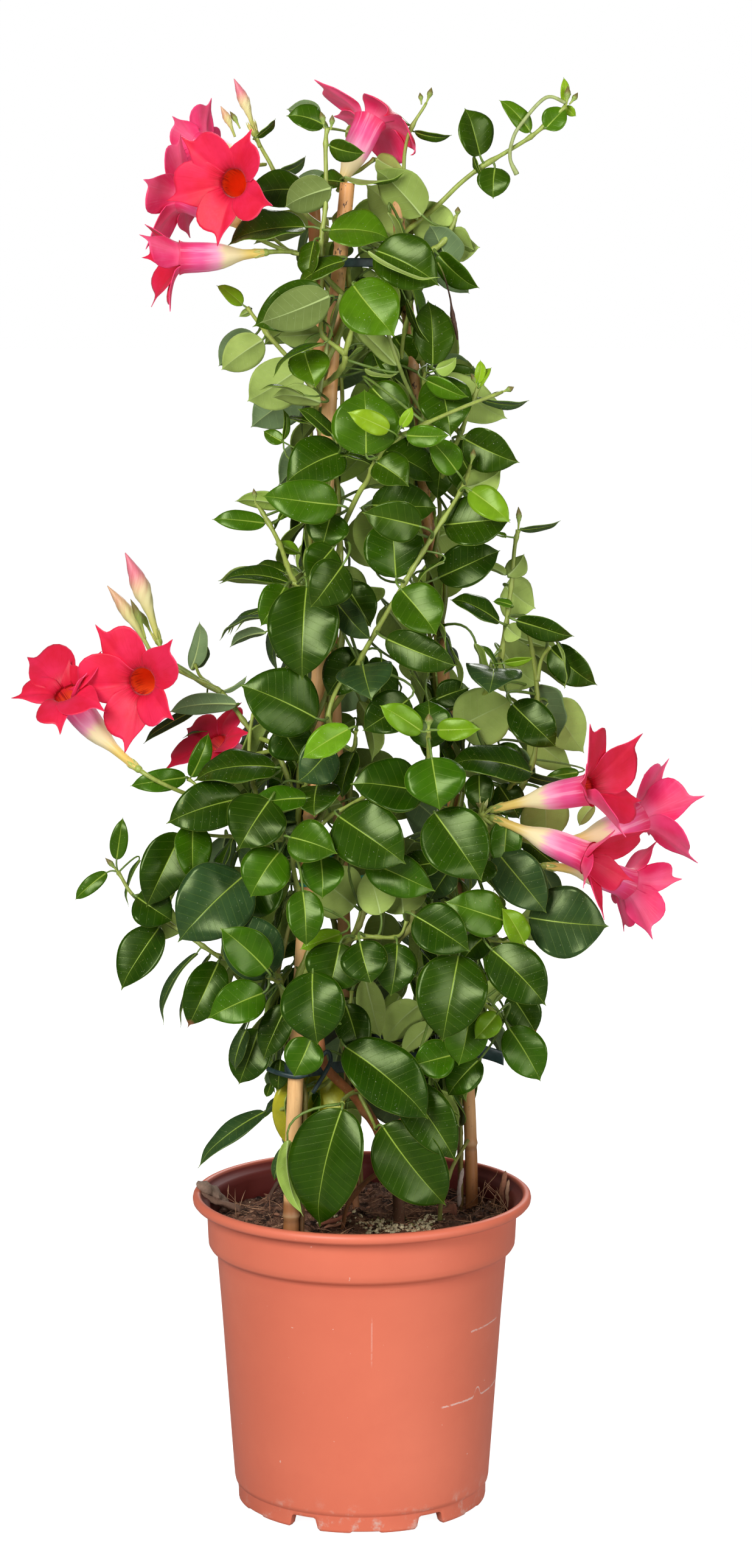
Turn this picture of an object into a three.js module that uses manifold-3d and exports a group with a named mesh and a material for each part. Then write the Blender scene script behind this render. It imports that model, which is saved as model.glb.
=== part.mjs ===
// A mandevilla trained up three bamboo canes in a plastic nursery pot.
// Millimetres, +Z up, origin on the pot's axis at the level it stands on; the plant's fuller side faces -Y.
// The front of the plant is laid out as an elevation on the plane y = 0, drawn in perspective from EYE.
// A place there is [x, z, depth]: sight() carries it along the line of sight to its real depth y.
import * as THREE from "three";
import { mergeVertices } from "three/addons/utils/BufferGeometryUtils.js";
import Module from "manifold-3d";

const wasm = await Module();
wasm.setup();

// ---- driving dimensions ----
const EYE = new THREE.Vector3(9, -2200, 765);
const GAP = 0.3; // clearance between neighbouring pieces that touch
const POT_HEIGHT = 193.7;
const RIM_R = 105;
const COLLAR_R = 95.3;
const COLLAR_Z = 159; // underside of the collar, where the wall steps in
const WALL_TOP_R = 90.5;
const WALL_FOOT_R = 79;
const FOOT_R = 77.6;
const FOOT_Z = 11; // height of the foot ring
const FLOOR_Z = 9; // underside of the raised floor
const WALL = 1.8;
const FEET = 6;
const NOTCH_DEG = 15;
const NOTCH_Z = 8;
const FOOT_TURN_DEG = -87; // direction of the middle of the front foot
const DRAIN_R = 4;
const DRAIN_DISTANCE = 52; // from the pot's axis to a drain hole
const SOIL_Z = 175;
const CANE_R = { front: 4.8, right: 4.0, back: 4.2 };
const VINE_R = 1.9;
const VINE_PITCH = 122;
const VINE_FOOT_Z = 160;
const VINE_TOP_Z = 792;
const TRUNK_R = 3.4;
const STEM_R = 1.6;
const HOOP_Z = 275; // the vines lie on the inner side of their canes at this height
const STRAPS = { // height of the middle, how tall, how thick
  hoop: [HOOP_Z, 9, 1.4],
  band: [396, 3, 0.9],
  tie: [764, 7, 1.6],
};
const PETIOLE_R = 1.0;
const SMALLEST_BLADE = 18; // narrower blades are left off
const KEEL = 1.3; // how far the midrib stands below the blade
const FOLD_DEG = 14; // how far each half of a blade lifts from flat
const ARCH = 0.05; // how far a blade arches, as a share of its length
const TUBE_LENGTH = 52;
const TUBE_R = 8.8;
const NECK_LENGTH = 22;
const NECK_R = 2.4;
const FLARE_S = 50; // how far along the flower the tube starts to flare
const LIMB_S = 53; // how far along the flower its limb lies
const DIMPLE_S = 51.5; // the bottom of the dimple in the limb
const DIMPLE_R = 6.3;
const PETAL_T = 1.2;

const FRONT = new THREE.Vector3(0, -0.95, 0.3).normalize();
const AGE_COLOURS = ["#2f5a1e", "#47801f", "#6ca52c", "#93a862", "#c9bd3c", "#3d5a3c"];
const rad = THREE.MathUtils.degToRad;

// Centre lines of the canes, bottom to top.
const CANES = {
  front: [[-43, -67, 140], [-40, -63, 265], [-24.4, -39, 530], [-17.7, -24, 701], [-7.9, -14, 812]],
  right: [[70, 43, 140], [67.6, 41, 240], [54.6, 27, 466], [36.1, 12, 649], [28, 5, 735], [20, -2, 812]],
  back: [[-3, 77, 140], [-15.5, 49, 461], [-25.4, 24, 720], [-28.5, 16, 800]],
};

// Leafy shoots of the front. stems: the first starts on the host vine at height z, the others on the first.
// leaves: base x, z, depth, tip x, z, depth, blade width, roll, age
// (roll 0 turns the upper face to the front; ages 0 mature, 1 grown, 2 young, 3 pale back, 4 yellow, 5 bluish).
const SHOOTS = [
  {
    name: "shoot_bud_spray",
    host: ["front", 780],
    stems: [[[-30, 790, -12], [-45, 806, -4], [-55, 824, 0], [-63, 838, 0]]],
    leaves: [
      [-49, 817, 2, -32, 826, 8, 11, 70, 5],
      [-31, 806, -14, -70, 803, -18, 26, 15, 0],
    ],
  },
  {
    name: "shoot_top_leader",
    host: ["front", 742],
    stems: [
      [[-22, 757, -34], [-24, 772, -38], [-21, 800, -36], [-21, 834, -32], [-20, 843, -30]],
      [[-24, 765, -36], [-34, 768, -34], [-43, 771, -32], [-52, 778, -30], [-58, 783, -28]],
    ],
    leaves: [
      [-22, 845, -30, -44, 851, -34, 17, 10, 0],
      [-19, 833, -32, 2, 828, -38, 14, 45, 0],
      [-18, 808, -40, -46, 797, -46, 22, 150, 3],
      [-19, 783, -44, 18, 779, -52, 30, -25, 1],
      [-33, 785, -36, -80, 777, -44, 32, 40, 0],
      [-10, 765, -48, -39, 750, -50, 18, 35, 0],
      [-28, 777, -42, -32, 753, -48, 17, 40, 0],
    ],
  },
  {
    name: "shoot_top_middle",
    host: ["front", 790],
    stems: [[[-8, 800, -4], [-11, 812, 0], [0, 819, 6], [8, 825, 10]]],
    leaves: [
      [-10, 814, -8, 27, 815, -16, 18, 108, 3],
      [9, 825, 8, 26, 817, 12, 18, 162, 3],
    ],
  },
  {
    name: "shoot_long_right",
    host: ["right", 778],
    stems: [
      [[34, 788, 6], [45, 797, 4], [67, 817, 0], [101, 838, 0], [122, 856, 0]],
      [[34, 788, 6], [26, 812, 8], [28, 838, 6], [39, 858, 6]],
    ],
    leaves: [
      [71, 827, -3, 63, 855, -8, 26, 28, 0],
      [80, 820, -2, 79, 802, -8, 20, 0, 0],
      [101, 841, 0, 83, 860, -4, 12, 10, 1],
      [110, 843, -2, 122, 855, 0, 15, 0, 1],
    ],
  },
  {
    name: "shoot_pale_top",
    host: ["right", 752],
    stems: [
      [[34, 766, -2], [48, 775, -2], [55, 786, 0], [57, 792, 0]],
      [[34, 766, -2], [20, 771, -24], [8, 772, -46]],
    ],
    leaves: [
      [33, 782, 14, 3, 810, 18, 28, 165, 3],
      [50, 775, 4, 37, 801, 8, 26, 170, 3],
      [49, 776, 6, 71, 772, 8, 22, 160, 3],
      [46, 769, -8, 70, 748, -14, 17, 45, 0],
      [9, 771, -52, 47, 751, -60, 34, 0, 0],
      [4, 770, -68, 46, 752, -76, 12, 112, 3],
    ],
  },
  {
    name: "shoot_heart",
    host: ["front", 690],
    stems: [
      [[-14, 698, -44], [-10, 709, -50], [-24, 722, -52], [-21, 736, -60]],
      [[-10, 709, -50], [-4, 730, -54], [-3, 752, -62]],
    ],
    leaves: [
      [-5, 751, -66, 20, 721, -80, 36, 0, 1],
      [22, 703, -52, -3, 727, -58, 16, 130, 3],
      [2, 700, -18, 24, 708, -20, 20, 15, 0],
      [20, 720, 2, 34, 700, 8, 22, 20, 0],
      [-22, 747, -58, -65, 726, -64, 28, -12, 0],
      [-19, 744, -72, -61, 728, -80, 25, 165, 3],
      [-24, 722, -40, -51, 720, -46, 15, 160, 3],
      [-22, 716, -76, -54, 698, -84, 13, 60, 0],
      [-34, 711, -64, -27, 690, -74, 25, -10, 1],
    ],
  },
  {
    name: "shoot_left_pale",
    host: ["front", 678],
    stems: [[[-28, 688, -44], [-40, 703, -36], [-55, 720, -24], [-62, 729, -16], [-68, 737, -10]]],
    leaves: [
      [-36, 702, -44, -69, 681, -54, 30, 165, 3],
      [-24, 681, -64, -54, 685, -68, 15, 130, 3],
      [-34, 685, -76, -61, 690, -80, 10, 72, 0],
      [-59, 718, -20, -84, 700, -22, 22, 165, 3],
      [-71, 739, -8, -86, 751, -8, 11, 25, 2],
    ],
  },
  {
    name: "shoot_upper_right",
    host: ["right", 612],
    stems: [
      [[46, 628, -8], [53, 646, -24], [60, 662, -32], [65, 676, -34], [71, 691, -32]],
      [[60, 662, -32], [46, 676, -26], [38, 692, -26], [40, 703, -30]],
    ],
    leaves: [
      [43, 703, -34, 41, 742, -28, 26, 18, 0],
      [46, 697, -6, 70, 698, -2, 14, 25, 0],
      [50, 696, -16, 87, 670, -12, 26, 170, 3],
      [39, 694, -52, 64, 683, -60, 13, 45, 1],
      [47, 696, -38, 54, 661, -54, 32, 0, 0],
      [62, 659, -46, 95, 644, -54, 26, 30, 0],
      [55, 657, -20, 73, 624, -24, 26, 8, 0],
      [51, 655, -12, 46, 622, -16, 20, 5, 0],
      [71, 683, -28, 101, 680, -30, 9, 72, 5],
    ],
  },
  {
    name: "shoot_long_pale",
    host: ["front", 588],
    stems: [[
      [-13, 602, -62], [-2, 625, -72], [4, 634, -76], [9, 646, -84],
      [20, 658, -90], [50, 673, -76], [85, 687, -56],
    ]],
    leaves: [
      [3, 649, -92, 2, 689, -86, 40, 0, 1],
      [6, 690, -40, 29, 666, -44, 26, 8, 0],
      [17, 664, -106, -8, 675, -112, 13, -8, 2],
      [27, 661, -94, 53, 661, -100, 13, 15, 1],
      [9, 645, -86, 29, 631, -94, 24, -15, 0],
    ],
  },
  {
    name: "shoot_diagonal",
    host: ["front", 498],
    stems: [[
      [-8, 509, -60], [2, 530, -68], [20, 561, -74], [40, 595, -74], [60, 627, -66], [66, 643, -58],
    ]],
    leaves: [
      [58, 639, -76, 41, 659, -80, 18, 0, 1],
      [62, 629, -46, 85, 640, -42, 22, 165, 3],
      [66, 628, -76, 90, 609, -86, 18, 0, 2],
      [50, 607, -64, 90, 611, -70, 32, -8, 0],
      [36, 606, -92, 1, 614, -100, 24, -22, 0],
      [6, 619, -54, 46, 618, -60, 28, 0, 0],
      [21, 575, -72, 18, 612, -64, 36, 0, 0],
      [24, 568, -98, 46, 541, -110, 30, -10, 1],
      [15, 538, -80, 58, 521, -90, 22, 15, 0],
    ],
  },
  {
    name: "shoot_left_upper",
    host: ["front", 576],
    stems: [[[-14, 590, -58], [-14, 603, -68], [-20, 625, -64], [-17, 648, -62]]],
    leaves: [
      [-14, 619, -92, -60, 625, -102, 26, -5, 1],
      [-18, 614, -78, -24, 592, -84, 26, 8, 0],
      [-17, 593, -84, -33, 574, -92, 24, -20, 0],
      [-11, 583, -98, -30, 557, -108, 28, -22, 0],
      [-11, 651, -70, -46, 633, -82, 32, 10, 0],
      [-17, 661, -84, -37, 678, -84, 14, 40, 0],
      [-30, 668, -30, -46, 672, -26, 10, 55, 0],
    ],
  },
  {
    name: "shoot_left_arm",
    host: ["front", 545],
    stems: [
      [[-34, 560, -48], [-42, 575, -38], [-48, 592, -24], [-52, 601, -16], [-60, 615, -10], [-64, 620, -10]],
      [[-34, 560, -48], [-38, 570, -58], [-42, 572, -58]],
    ],
    leaves: [
      [-58, 608, -10, -90, 611, -12, 13, 5, 1],
      [-44, 572, -50, -86, 574, -44, 17, 45, 0],
      [-46, 578, -26, -63, 584, -22, 12, 40, 0],
      [-46, 570, -64, -61, 546, -74, 20, 0, 1],
      [-56, 551, -44, -87, 539, -38, 14, 70, 5],
      [-57, 556, -28, -81, 542, -22, 12, 60, 0],
      [-33, 570, -78, -36, 513, -92, 42, 0, 0],
    ],
  },
  {
    name: "shoot_left_shield",
    host: ["front", 468],
    stems: [
      [[-18, 478, -62], [-20, 492, -70], [-12, 512, -62], [0, 521, -62]],
      [[-18, 478, -62], [-6, 470, -80], [-3, 482, -98]],
    ],
    leaves: [
      [-19, 566, -66, 5, 537, -76, 18, 28, 5],
      [-10, 571, -42, 6, 545, -46, 24, 0, 0],
      [1, 530, -56, -21, 503, -60, 26, 0, 0],
      [1, 522, -76, 6, 502, -104, 34, 0, 5],
      [29, 501, -70, 1, 482, -80, 26, 0, 0],
      [-27, 489, -80, -73, 510, -90, 40, 0, 0],
      [-7, 483, -108, -36, 465, -116, 18, 0, 2],
      [-49, 484, -64, -36, 463, -68, 28, 0, 0],
      [-18, 472, -84, -38, 450, -98, 28, -25, 5],
    ],
  },
  {
    name: "shoot_young_pair",
    host: ["right", 425],
    stems: [[[46, 436, -30], [42, 446, -66], [41, 470, -88], [41, 482, -98]]],
    leaves: [
      [37, 481, -98, 12, 497, -106, 16, 0, 2],
      [46, 482, -98, 73, 483, -104, 14, 0, 2],
      [41, 471, -68, 41, 501, -60, 27, 0, 0],
      [43, 465, -108, 48, 433, -120, 36, 0, 1],
    ],
  },
  {
    name: "shoot_right_thin",
    host: ["right", 472],
    stems: [[
      [70, 497, -4], [82, 516, -18], [87, 540, -22], [91, 570, -20], [93, 594, -18], [95, 604, -18],
    ]],
    leaves: [
      [96, 604, -18, 121, 608, -16, 7, 70, 5],
      [89, 576, -22, 99, 589, -18, 14, 160, 3],
      [87, 570, -12, 105, 556, -6, 28, 168, 3],
      [84, 548, -30, 55, 563, -36, 18, 35, 0],
      [80, 520, -48, 78, 506, -78, 34, 0, 5],
      [84, 533, -4, 108, 509, 0, 34, 170, 3],
      [58, 483, -24, 92, 500, -18, 38, 172, 3],
      [46, 501, -6, 66, 508, -6, 18, 0, 0],
    ],
  },
  {
    name: "shoot_right_outer",
    host: ["right", 412],
    stems: [
      [[84, 430, -4], [104, 460, -8], [107, 500, -6], [104, 530, -8], [99, 552, -12]],
      [[107, 512, -6], [110, 526, -6], [115, 533, -8]],
      [[84, 430, -4], [90, 446, -34], [100, 455, -54]],
    ],
    leaves: [
      [94, 549, -34, 129, 538, -38, 16, 42, 0],
      [115, 532, -8, 143, 509, -16, 22, 28, 0],
      [92, 498, -36, 119, 472, -46, 26, 0, 0],
      [114, 499, 2, 135, 468, 8, 30, 175, 3],
      [103, 478, 8, 128, 458, 12, 22, 170, 3],
      [98, 462, -16, 84, 474, -16, 12, 20, 0],
      [104, 456, -60, 54, 463, -72, 30, 38, 0],
      [112, 441, -14, 113, 411, -8, 32, 165, 3],
      [72, 455, -46, 73, 431, -52, 18, 0, 0],
      [84, 448, -32, 97, 427, -34, 20, 0, 0],
      [98, 417, -24, 123, 396, -28, 13, 20, 0],
    ],
  },
  {
    name: "shoot_centre",
    host: ["front", 362],
    stems: [
      [[-38, 380, -66], [-42, 400, -80], [-42, 414, -92]],
      [[-42, 400, -80], [-22, 426, -78], [-12, 433, -86], [14, 446, -78], [38, 447, -82]],
    ],
    leaves: [
      [-14, 429, -98, 27, 400, -114, 40, 0, 0],
      [38, 444, -90, -6, 450, -100, 34, 15, 0],
      [-27, 448, -72, -29, 430, -94, 32, 10, 0],
      [-44, 416, -108, -15, 406, -118, 26, 0, 1],
      [-25, 404, -92, -24, 378, -102, 26, 0, 1],
      [-36, 383, -110, -34, 348, -118, 22, 0, 1],
      [-12, 356, -88, -38, 347, -94, 14, 20, 2],
    ],
  },
  {
    name: "shoot_left_centre",
    host: ["front", 408],
    stems: [
      [[-46, 414, -60], [-58, 428, -66], [-64, 442, -62], [-68, 460, -52], [-68, 478, -42], [-66, 492, -36]],
      [[-46, 414, -60], [-75, 416, -58], [-92, 417, -56], [-101, 420, -56]],
    ],
    leaves: [
      [-52, 459, -74, -103, 453, -82, 30, 40, 0],
      [-72, 440, -74, -119, 425, -88, 30, 0, 0],
      [-56, 439, -94, -75, 409, -108, 36, 0, 0],
      [-33, 440, -84, -70, 435, -94, 17, 18, 1],
      [-50, 407, -94, -68, 379, -104, 30, 0, 1],
      [-72, 392, -76, -113, 351, -90, 46, 0, 5],
      [-54, 395, -58, -73, 366, -62, 30, 0, 0],
      [-103, 424, -68, -103, 387, -80, 24, -25, 1],
      [-110, 418, -52, -132, 372, -60, 30, -10, 0],
    ],
  },
  {
    name: "shoot_flower_arm",
    host: ["front", 440],
    stems: [
      [[-52, 470, -40], [-66, 480, -30], [-85, 505, -26], [-108, 517, -22], [-125, 531, -16]],
      [[-52, 470, -40], [-80, 462, -50], [-94, 446, -56], [-106, 452, -54]],
      [[-85, 505, -26], [-97, 514, -8], [-101, 522, 2]],
    ],
    leaves: [
      [-76, 498, -36, -118, 494, -46, 14, 38, 0],
      [-100, 495, -12, -134, 475, -12, 9, 30, 5],
      [-104, 453, -50, -93, 480, -48, 12, 10, 1],
      [-107, 453, -56, -141, 448, -64, 14, 0, 1],
      [-103, 519, 4, -97, 548, 8, 13, 30, 5],
    ],
  },
  {
    name: "shoot_left_low",
    host: ["front", 318],
    stems: [
      [[-52, 330, -60], [-66, 340, -54], [-85, 341, -50], [-100, 350, -48], [-137, 377, -30], [-149, 394, -20]],
      [[-50, 326, -62], [-52, 326, -76], [-58, 329, -90]],
    ],
    leaves: [
      [-138, 379, -46, -116, 364, -52, 26, 0, 0],
      [-136, 402, -12, -145, 373, -12, 9, 72, 3],
      [-150, 402, -18, -146, 428, -18, 11, 0, 1],
      [-156, 394, -18, -176, 377, -20, 10, 0, 1],
      [-124, 360, -34, -149, 321, -44, 27, 15, 0],
      [-101, 344, -50, -125, 300, -56, 12, 62, 5],
      [-88, 338, -56, -107, 297, -66, 25, -8, 0],
      [-58, 333, -100, -86, 359, -108, 26, 0, 1],
      [-54, 331, -84, -84, 367, -86, 36, 0, 5],
      [-60, 319, -92, -95, 303, -100, 26, 0, 1],
      [-46, 311, -76, -61, 277, -82, 20, 10, 0],
      [-63, 296, -50, -76, 261, -56, 26, 0, 0],
      [-50, 277, -46, -52, 257, -48, 13, 10, 0],
    ],
  },
  {
    name: "shoot_pale_fan",
    host: ["front", 335],
    stems: [
      [[-24, 345, -66], [-12, 350, -78], [-5, 356, -70], [0, 370, -62]],
      [[-12, 350, -78], [0, 354, -88], [22, 354, -88], [28, 364, -84]],
    ],
    leaves: [
      [-4, 373, -64, -30, 393, -56, 34, 170, 3],
      [26, 368, -74, 22, 399, -62, 30, 175, 3],
      [12, 368, -82, 4, 396, -72, 24, 165, 3],
      [3, 401, -88, 45, 382, -98, 26, 15, 1],
      [33, 367, -104, 67, 345, -112, 30, 0, 0],
      [-30, 332, -106, -27, 286, -116, 38, 0, 0],
      [-13, 350, -98, -20, 319, -106, 36, 0, 0],
      [-1, 351, -108, 6, 325, -120, 28, 0, 0],
      [22, 350, -95, 18, 317, -105, 26, 0, 0],
    ],
  },
  {
    name: "shoot_right_low",
    host: ["right", 312],
    stems: [
      [[66, 326, 0], [66, 342, -46], [80, 352, -58], [100, 348, -60]],
      [[66, 326, 0], [74, 314, -34], [88, 302, -50]],
    ],
    leaves: [
      [88, 364, -88, 52, 376, -98, 28, 0, 1],
      [100, 350, -84, 87, 372, -90, 17, 20, 2],
      [80, 346, -94, 114, 311, -104, 32, 0, 0],
      [76, 354, -78, 62, 339, -86, 18, 0, 0],
      [103, 366, -58, 152, 361, -64, 44, 0, 5],
      [60, 343, -100, 50, 288, -112, 42, 0, 0],
      [67, 309, -82, 60, 273, -88, 26, 0, 1],
      [84, 306, -86, 70, 290, -92, 15, 0, 2],
      [91, 297, -56, 111, 263, -62, 26, 0, 1],
      [92, 318, -36, 108, 293, -40, 22, 0, 0],
      [57, 280, -70, 31, 273, -74, 24, 0, 1],
      [73, 277, -54, 53, 254, -58, 22, 10, 0],
    ],
  },
  {
    name: "shoot_right_shield",
    host: ["right", 380],
    stems: [
      [[56, 400, -16], [50, 420, -66], [46, 430, -98]],
      [[56, 400, -16], [70, 412, -36], [86, 414, -50]],
    ],
    leaves: [
      [45, 431, -104, 74, 389, -118, 40, 0, 0],
      [83, 407, -62, 114, 369, -72, 30, 0, 5],
      [89, 427, -58, 87, 395, -64, 20, 0, 1],
      [76, 402, -84, 73, 387, -90, 16, 0, 0],
      [55, 397, -68, 42, 377, -72, 20, 10, 5],
      [48, 400, -78, 18, 393, -84, 20, 30, 0],
    ],
  },
  {
    name: "shoot_bottom_left",
    host: ["front", 238],
    stems: [
      [[-34, 252, -54], [-22, 262, -44], [-16, 268, -36]],
      [[-34, 252, -54], [-48, 246, -40], [-56, 245, -26]],
    ],
    leaves: [
      [-60, 244, -20, -103, 210, -30, 16, 35, 5],
      [-18, 268, -32, -48, 224, -38, 28, 0, 4],
    ],
  },
  {
    name: "shoot_bottom",
    host: ["trunk", 250],
    stems: [
      [[-2, 256, -52], [-11, 252, -70], [-12, 249, -82]],
      [[-2, 256, -52], [6, 240, -58], [9, 233, -68]],
      [[-2, 256, -52], [-4, 280, -56], [-8, 296, -62], [-6, 320, -54]],
      [[-2, 256, -52], [14, 262, -56], [32, 270, -52]],
    ],
    leaves: [
      [-12, 246, -86, -28, 169, -84, 46, 0, 0],
      [-40, 228, -78, -34, 178, -74, 20, -20, 1],
      [9, 230, -72, 52, 184, -76, 34, 0, 0],
      [-10, 285, -80, 42, 240, -92, 38, -10, 0],
      [25, 262, -66, 59, 212, -76, 30, 0, 0],
      [36, 312, -22, 13, 288, -26, 24, 150, 3],
      [-10, 312, -66, -1, 280, -76, 22, 0, 0],
      [2, 328, -44, 11, 290, -50, 18, 160, 3],
      [-31, 290, -94, -42, 266, -98, 24, 0, 1],
    ],
  },
];

// Leafy shoots of the back and sides: host vine and height, the bearing it leaves by (degrees from +X towards +Y),
// its reach and rise, how many leaf pairs it carries and their blade length.
const BACK_SHOOTS = [
  ["shoot_back_low_left", "back", 262, 146, 22, 60, 4, 50],
  ["shoot_back_low_right", "back", 318, 30, 16, 50, 4, 50],
  ["shoot_back_mid_left", "back", 396, 146, 34, 80, 4, 50],
  ["shoot_back_mid_right", "right", 372, 66, 30, 100, 4, 50],
  ["shoot_back_high", "back", 520, 104, 30, 110, 4, 44],
  ["shoot_back_top", "back", 655, 92, 28, 100, 4, 38],
  ["shoot_side_right", "right", 262, 6, 22, 50, 3, 46],
];

// Open flowers: stalk start, throat [x, z, depth], direction they face, petal reach, turn of the petals.
const FLOWERS = [
  ["flower_top_front", [-46, 806, -6], [-78, 810, -60], [-0.42, -0.9, 0], 38, 57],
  ["flower_top_behind", [-57, 826, 0], [-93, 835, 12], [-0.9, 0.3, 0.2], 34, 20],
  ["flower_top_left", [-58, 783, -28], [-105, 800, -18], [-0.9, 0.3, 0.25], 36, 10],
  ["flower_top_side", [-43, 771, -32], [-111, 768, -44], [-1, -0.16, 0.04], 34, 76],
  ["flower_crown", [-11, 812, 0], [6, 842, 8], [0.62, 0.4, 0.68], 38, 30],
  ["flower_left_front", [-108, 517, -22], [-135, 511, -62], [-0.28, -0.95, -0.05], 41, 43],
  ["flower_left_outer", [-100, 448, -56], [-180, 500, -44], [-0.56, -0.3, 0.7], 36, 10],
  ["flower_left_shaded", [-67, 483, -33], [-93, 469, -14], [-0.2, -0.9, 0.35], 32, 20],
  ["flower_right_upper", [80, 434, -58], [139, 446, -86], [0.86, -0.48, 0.1], 41, 40],
  ["flower_right_lower", [80, 434, -58], [143, 405, -82], [0.84, -0.44, -0.3], 39, 20],
  ["flower_right_back", [80, 434, -58], [177, 432, -30], [0.66, 0.66, 0.3], 39, 50],
  ["flower_right_under", [80, 434, -58], [170, 388, -40], [0.74, 0.52, -0.4], 35, 25],
];

// Large buds: stalk start, where the bud begins, tip, widest diameter.
const BUDS = [
  ["bud_top_left", [-60, 832, 0], [-63, 840, 0], [-75.5, 872, -4], 7],
  ["bud_left", [-120, 527, -18], [-125, 538, -14], [-143, 590, -18], 10],
];

// ---- helpers ----
const vec = (p) => new THREE.Vector3(...p);

/** Carries a place [x, z] of the front elevation along the line of sight to the depth y. */
function sight([x, z, depth]) {
  const share = (depth - EYE.y) / -EYE.y;
  return new THREE.Vector3(
    EYE.x + share * (x - EYE.x),
    depth,
    EYE.z + share * (z - EYE.z),
  );
}

/** A manifold solid from a geometry whose faces close, turned right side out. */
function solidOf(geometry) {
  const g = geometry.index ? geometry.toNonIndexed() : geometry.clone();
  for (const name of Object.keys(g.attributes)) {
    if (name !== "position") g.deleteAttribute(name);
  }
  const merged = mergeVertices(g, 1e-4);
  const build = (triVerts) => new wasm.Manifold(new wasm.Mesh({
    numProp: 3,
    vertProperties: merged.attributes.position.array,
    triVerts,
  }));
  const triVerts = new Uint32Array(merged.index.array);
  const solid = build(triVerts);
  if (solid.volume() > 0) return solid;
  for (let i = 0; i < triVerts.length; i += 3) {
    [triVerts[i + 1], triVerts[i + 2]] = [triVerts[i + 2], triVerts[i + 1]];
  }
  return build(triVerts);
}

/** A geometry from a manifold solid. */
function geometryOf(solid) {
  const mesh = solid.getMesh();
  const geometry = new THREE.BufferGeometry();
  geometry.setAttribute("position", new THREE.BufferAttribute(mesh.vertProperties, 3));
  geometry.setIndex(new THREE.BufferAttribute(mesh.triVerts, 1));
  geometry.computeVertexNormals();
  return geometry;
}

/** A regular polygon as an outline. */
function polygon(radius, sides) {
  const corners = [];
  for (let i = 0; i < sides; i += 1) {
    const a = (2 * Math.PI * i) / sides;
    corners.push(new THREE.Vector2(radius * Math.cos(a), radius * Math.sin(a)));
  }
  return new THREE.Shape(corners);
}

/** A round bar of a few sides along a curve. */
function bar(curve, radius, sides, steps) {
  const shape = polygon(radius, sides);
  return solidOf(new THREE.ExtrudeGeometry(shape, { steps, extrudePath: curve, bevelEnabled: false }));
}

/** Whether two bounding boxes come within a margin of each other. */
function near(a, b, margin = 1) {
  const p = a.boundingBox();
  const q = b.boundingBox();
  return [0, 1, 2].every((k) => p.min[k] < q.max[k] + margin && q.min[k] < p.max[k] + margin);
}

/** A solid less each of the others that come near it. */
function cutBy(solid, others) {
  let left = solid;
  for (const other of others) {
    if (left.isEmpty()) return left;
    if (near(left, other)) left = left.subtract(other);
  }
  return left;
}

/** The largest body of a solid. */
function largest(solid) {
  const bodies = solid.decompose();
  return bodies.sort((a, b) => b.volume() - a.volume())[0];
}

/** The union of a list of solids. */
function join(solids) {
  return solids.reduce((whole, next) => whole.add(next));
}

// ---- canes and vines ----
const caneCurve = {};
for (const [name, points] of Object.entries(CANES)) {
  caneCurve[name] = new THREE.CatmullRomCurve3(points.map(vec));
}

/** The point of a cane's centre line at a height. */
function caneAt(name, z) {
  const curve = caneCurve[name];
  let low = 0;
  let high = 1;
  for (let i = 0; i < 24; i += 1) {
    const middle = (low + high) / 2;
    if (curve.getPoint(middle).z < z) low = middle;
    else high = middle;
  }
  return curve.getPoint(low);
}

/** The middle of the three canes at a height. */
function caneCentre(z) {
  return ["front", "right", "back"]
    .map((name) => caneAt(name, z))
    .reduce((sum, p) => sum.add(p), new THREE.Vector3())
    .divideScalar(3);
}

/** The point of a cane's vine at a height: a helix that is on the inner side of the cane at the hoop. */
function vineAt(name, z) {
  const axis = caneAt(name, z);
  const inward = caneCentre(HOOP_Z).sub(caneAt(name, HOOP_Z));
  const angle = Math.atan2(inward.y, inward.x) + (2 * Math.PI * (z - HOOP_Z)) / VINE_PITCH;
  const reach = CANE_R[name] + VINE_R + 3 * GAP;
  return new THREE.Vector3(axis.x + reach * Math.cos(angle), axis.y + reach * Math.sin(angle), z);
}

/** A stretch of a cane's vine as a curve. */
class VineCurve extends THREE.Curve {
  constructor(name, low, high) {
    super();
    Object.assign(this, { name, low, high });
  }

  getPoint(t, target = new THREE.Vector3()) {
    return target.copy(vineAt(this.name, THREE.MathUtils.lerp(this.low, this.high, t)));
  }
}

const CANE_SIDES = 8;
const CANE_STEPS = 8;
const VINE_SIDES = 4;
const VINE_STEPS = 44;
const canes = {};
const caneShadows = [];
const vines = {};
const vineShadows = [];
for (const name of Object.keys(CANES)) {
  canes[name] = bar(caneCurve[name], CANE_R[name], CANE_SIDES, CANE_STEPS);
  caneShadows.push(bar(caneCurve[name], CANE_R[name] + GAP, CANE_SIDES, CANE_STEPS));
  const curve = new VineCurve(name, VINE_FOOT_Z, VINE_TOP_Z);
  vines[name] = bar(curve, VINE_R, VINE_SIDES, VINE_STEPS);
  vineShadows.push(bar(curve, VINE_R + GAP, VINE_SIDES, VINE_STEPS));
}

// The woody trunk leaves the soil near the middle and leans over to the front cane.
const TRUNK = [[16, 145, -10], [14, 200, -24], [12, 232, -36], [-3, 252, -50], [-22, 272, -64], [-26, 292, -66]];
const trunkCurve = new THREE.CatmullRomCurve3(TRUNK.map(sight));
const trunkBar = bar(trunkCurve, TRUNK_R, 6, 8);
const trunkShadow = bar(trunkCurve, TRUNK_R + GAP, 6, 8);

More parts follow.
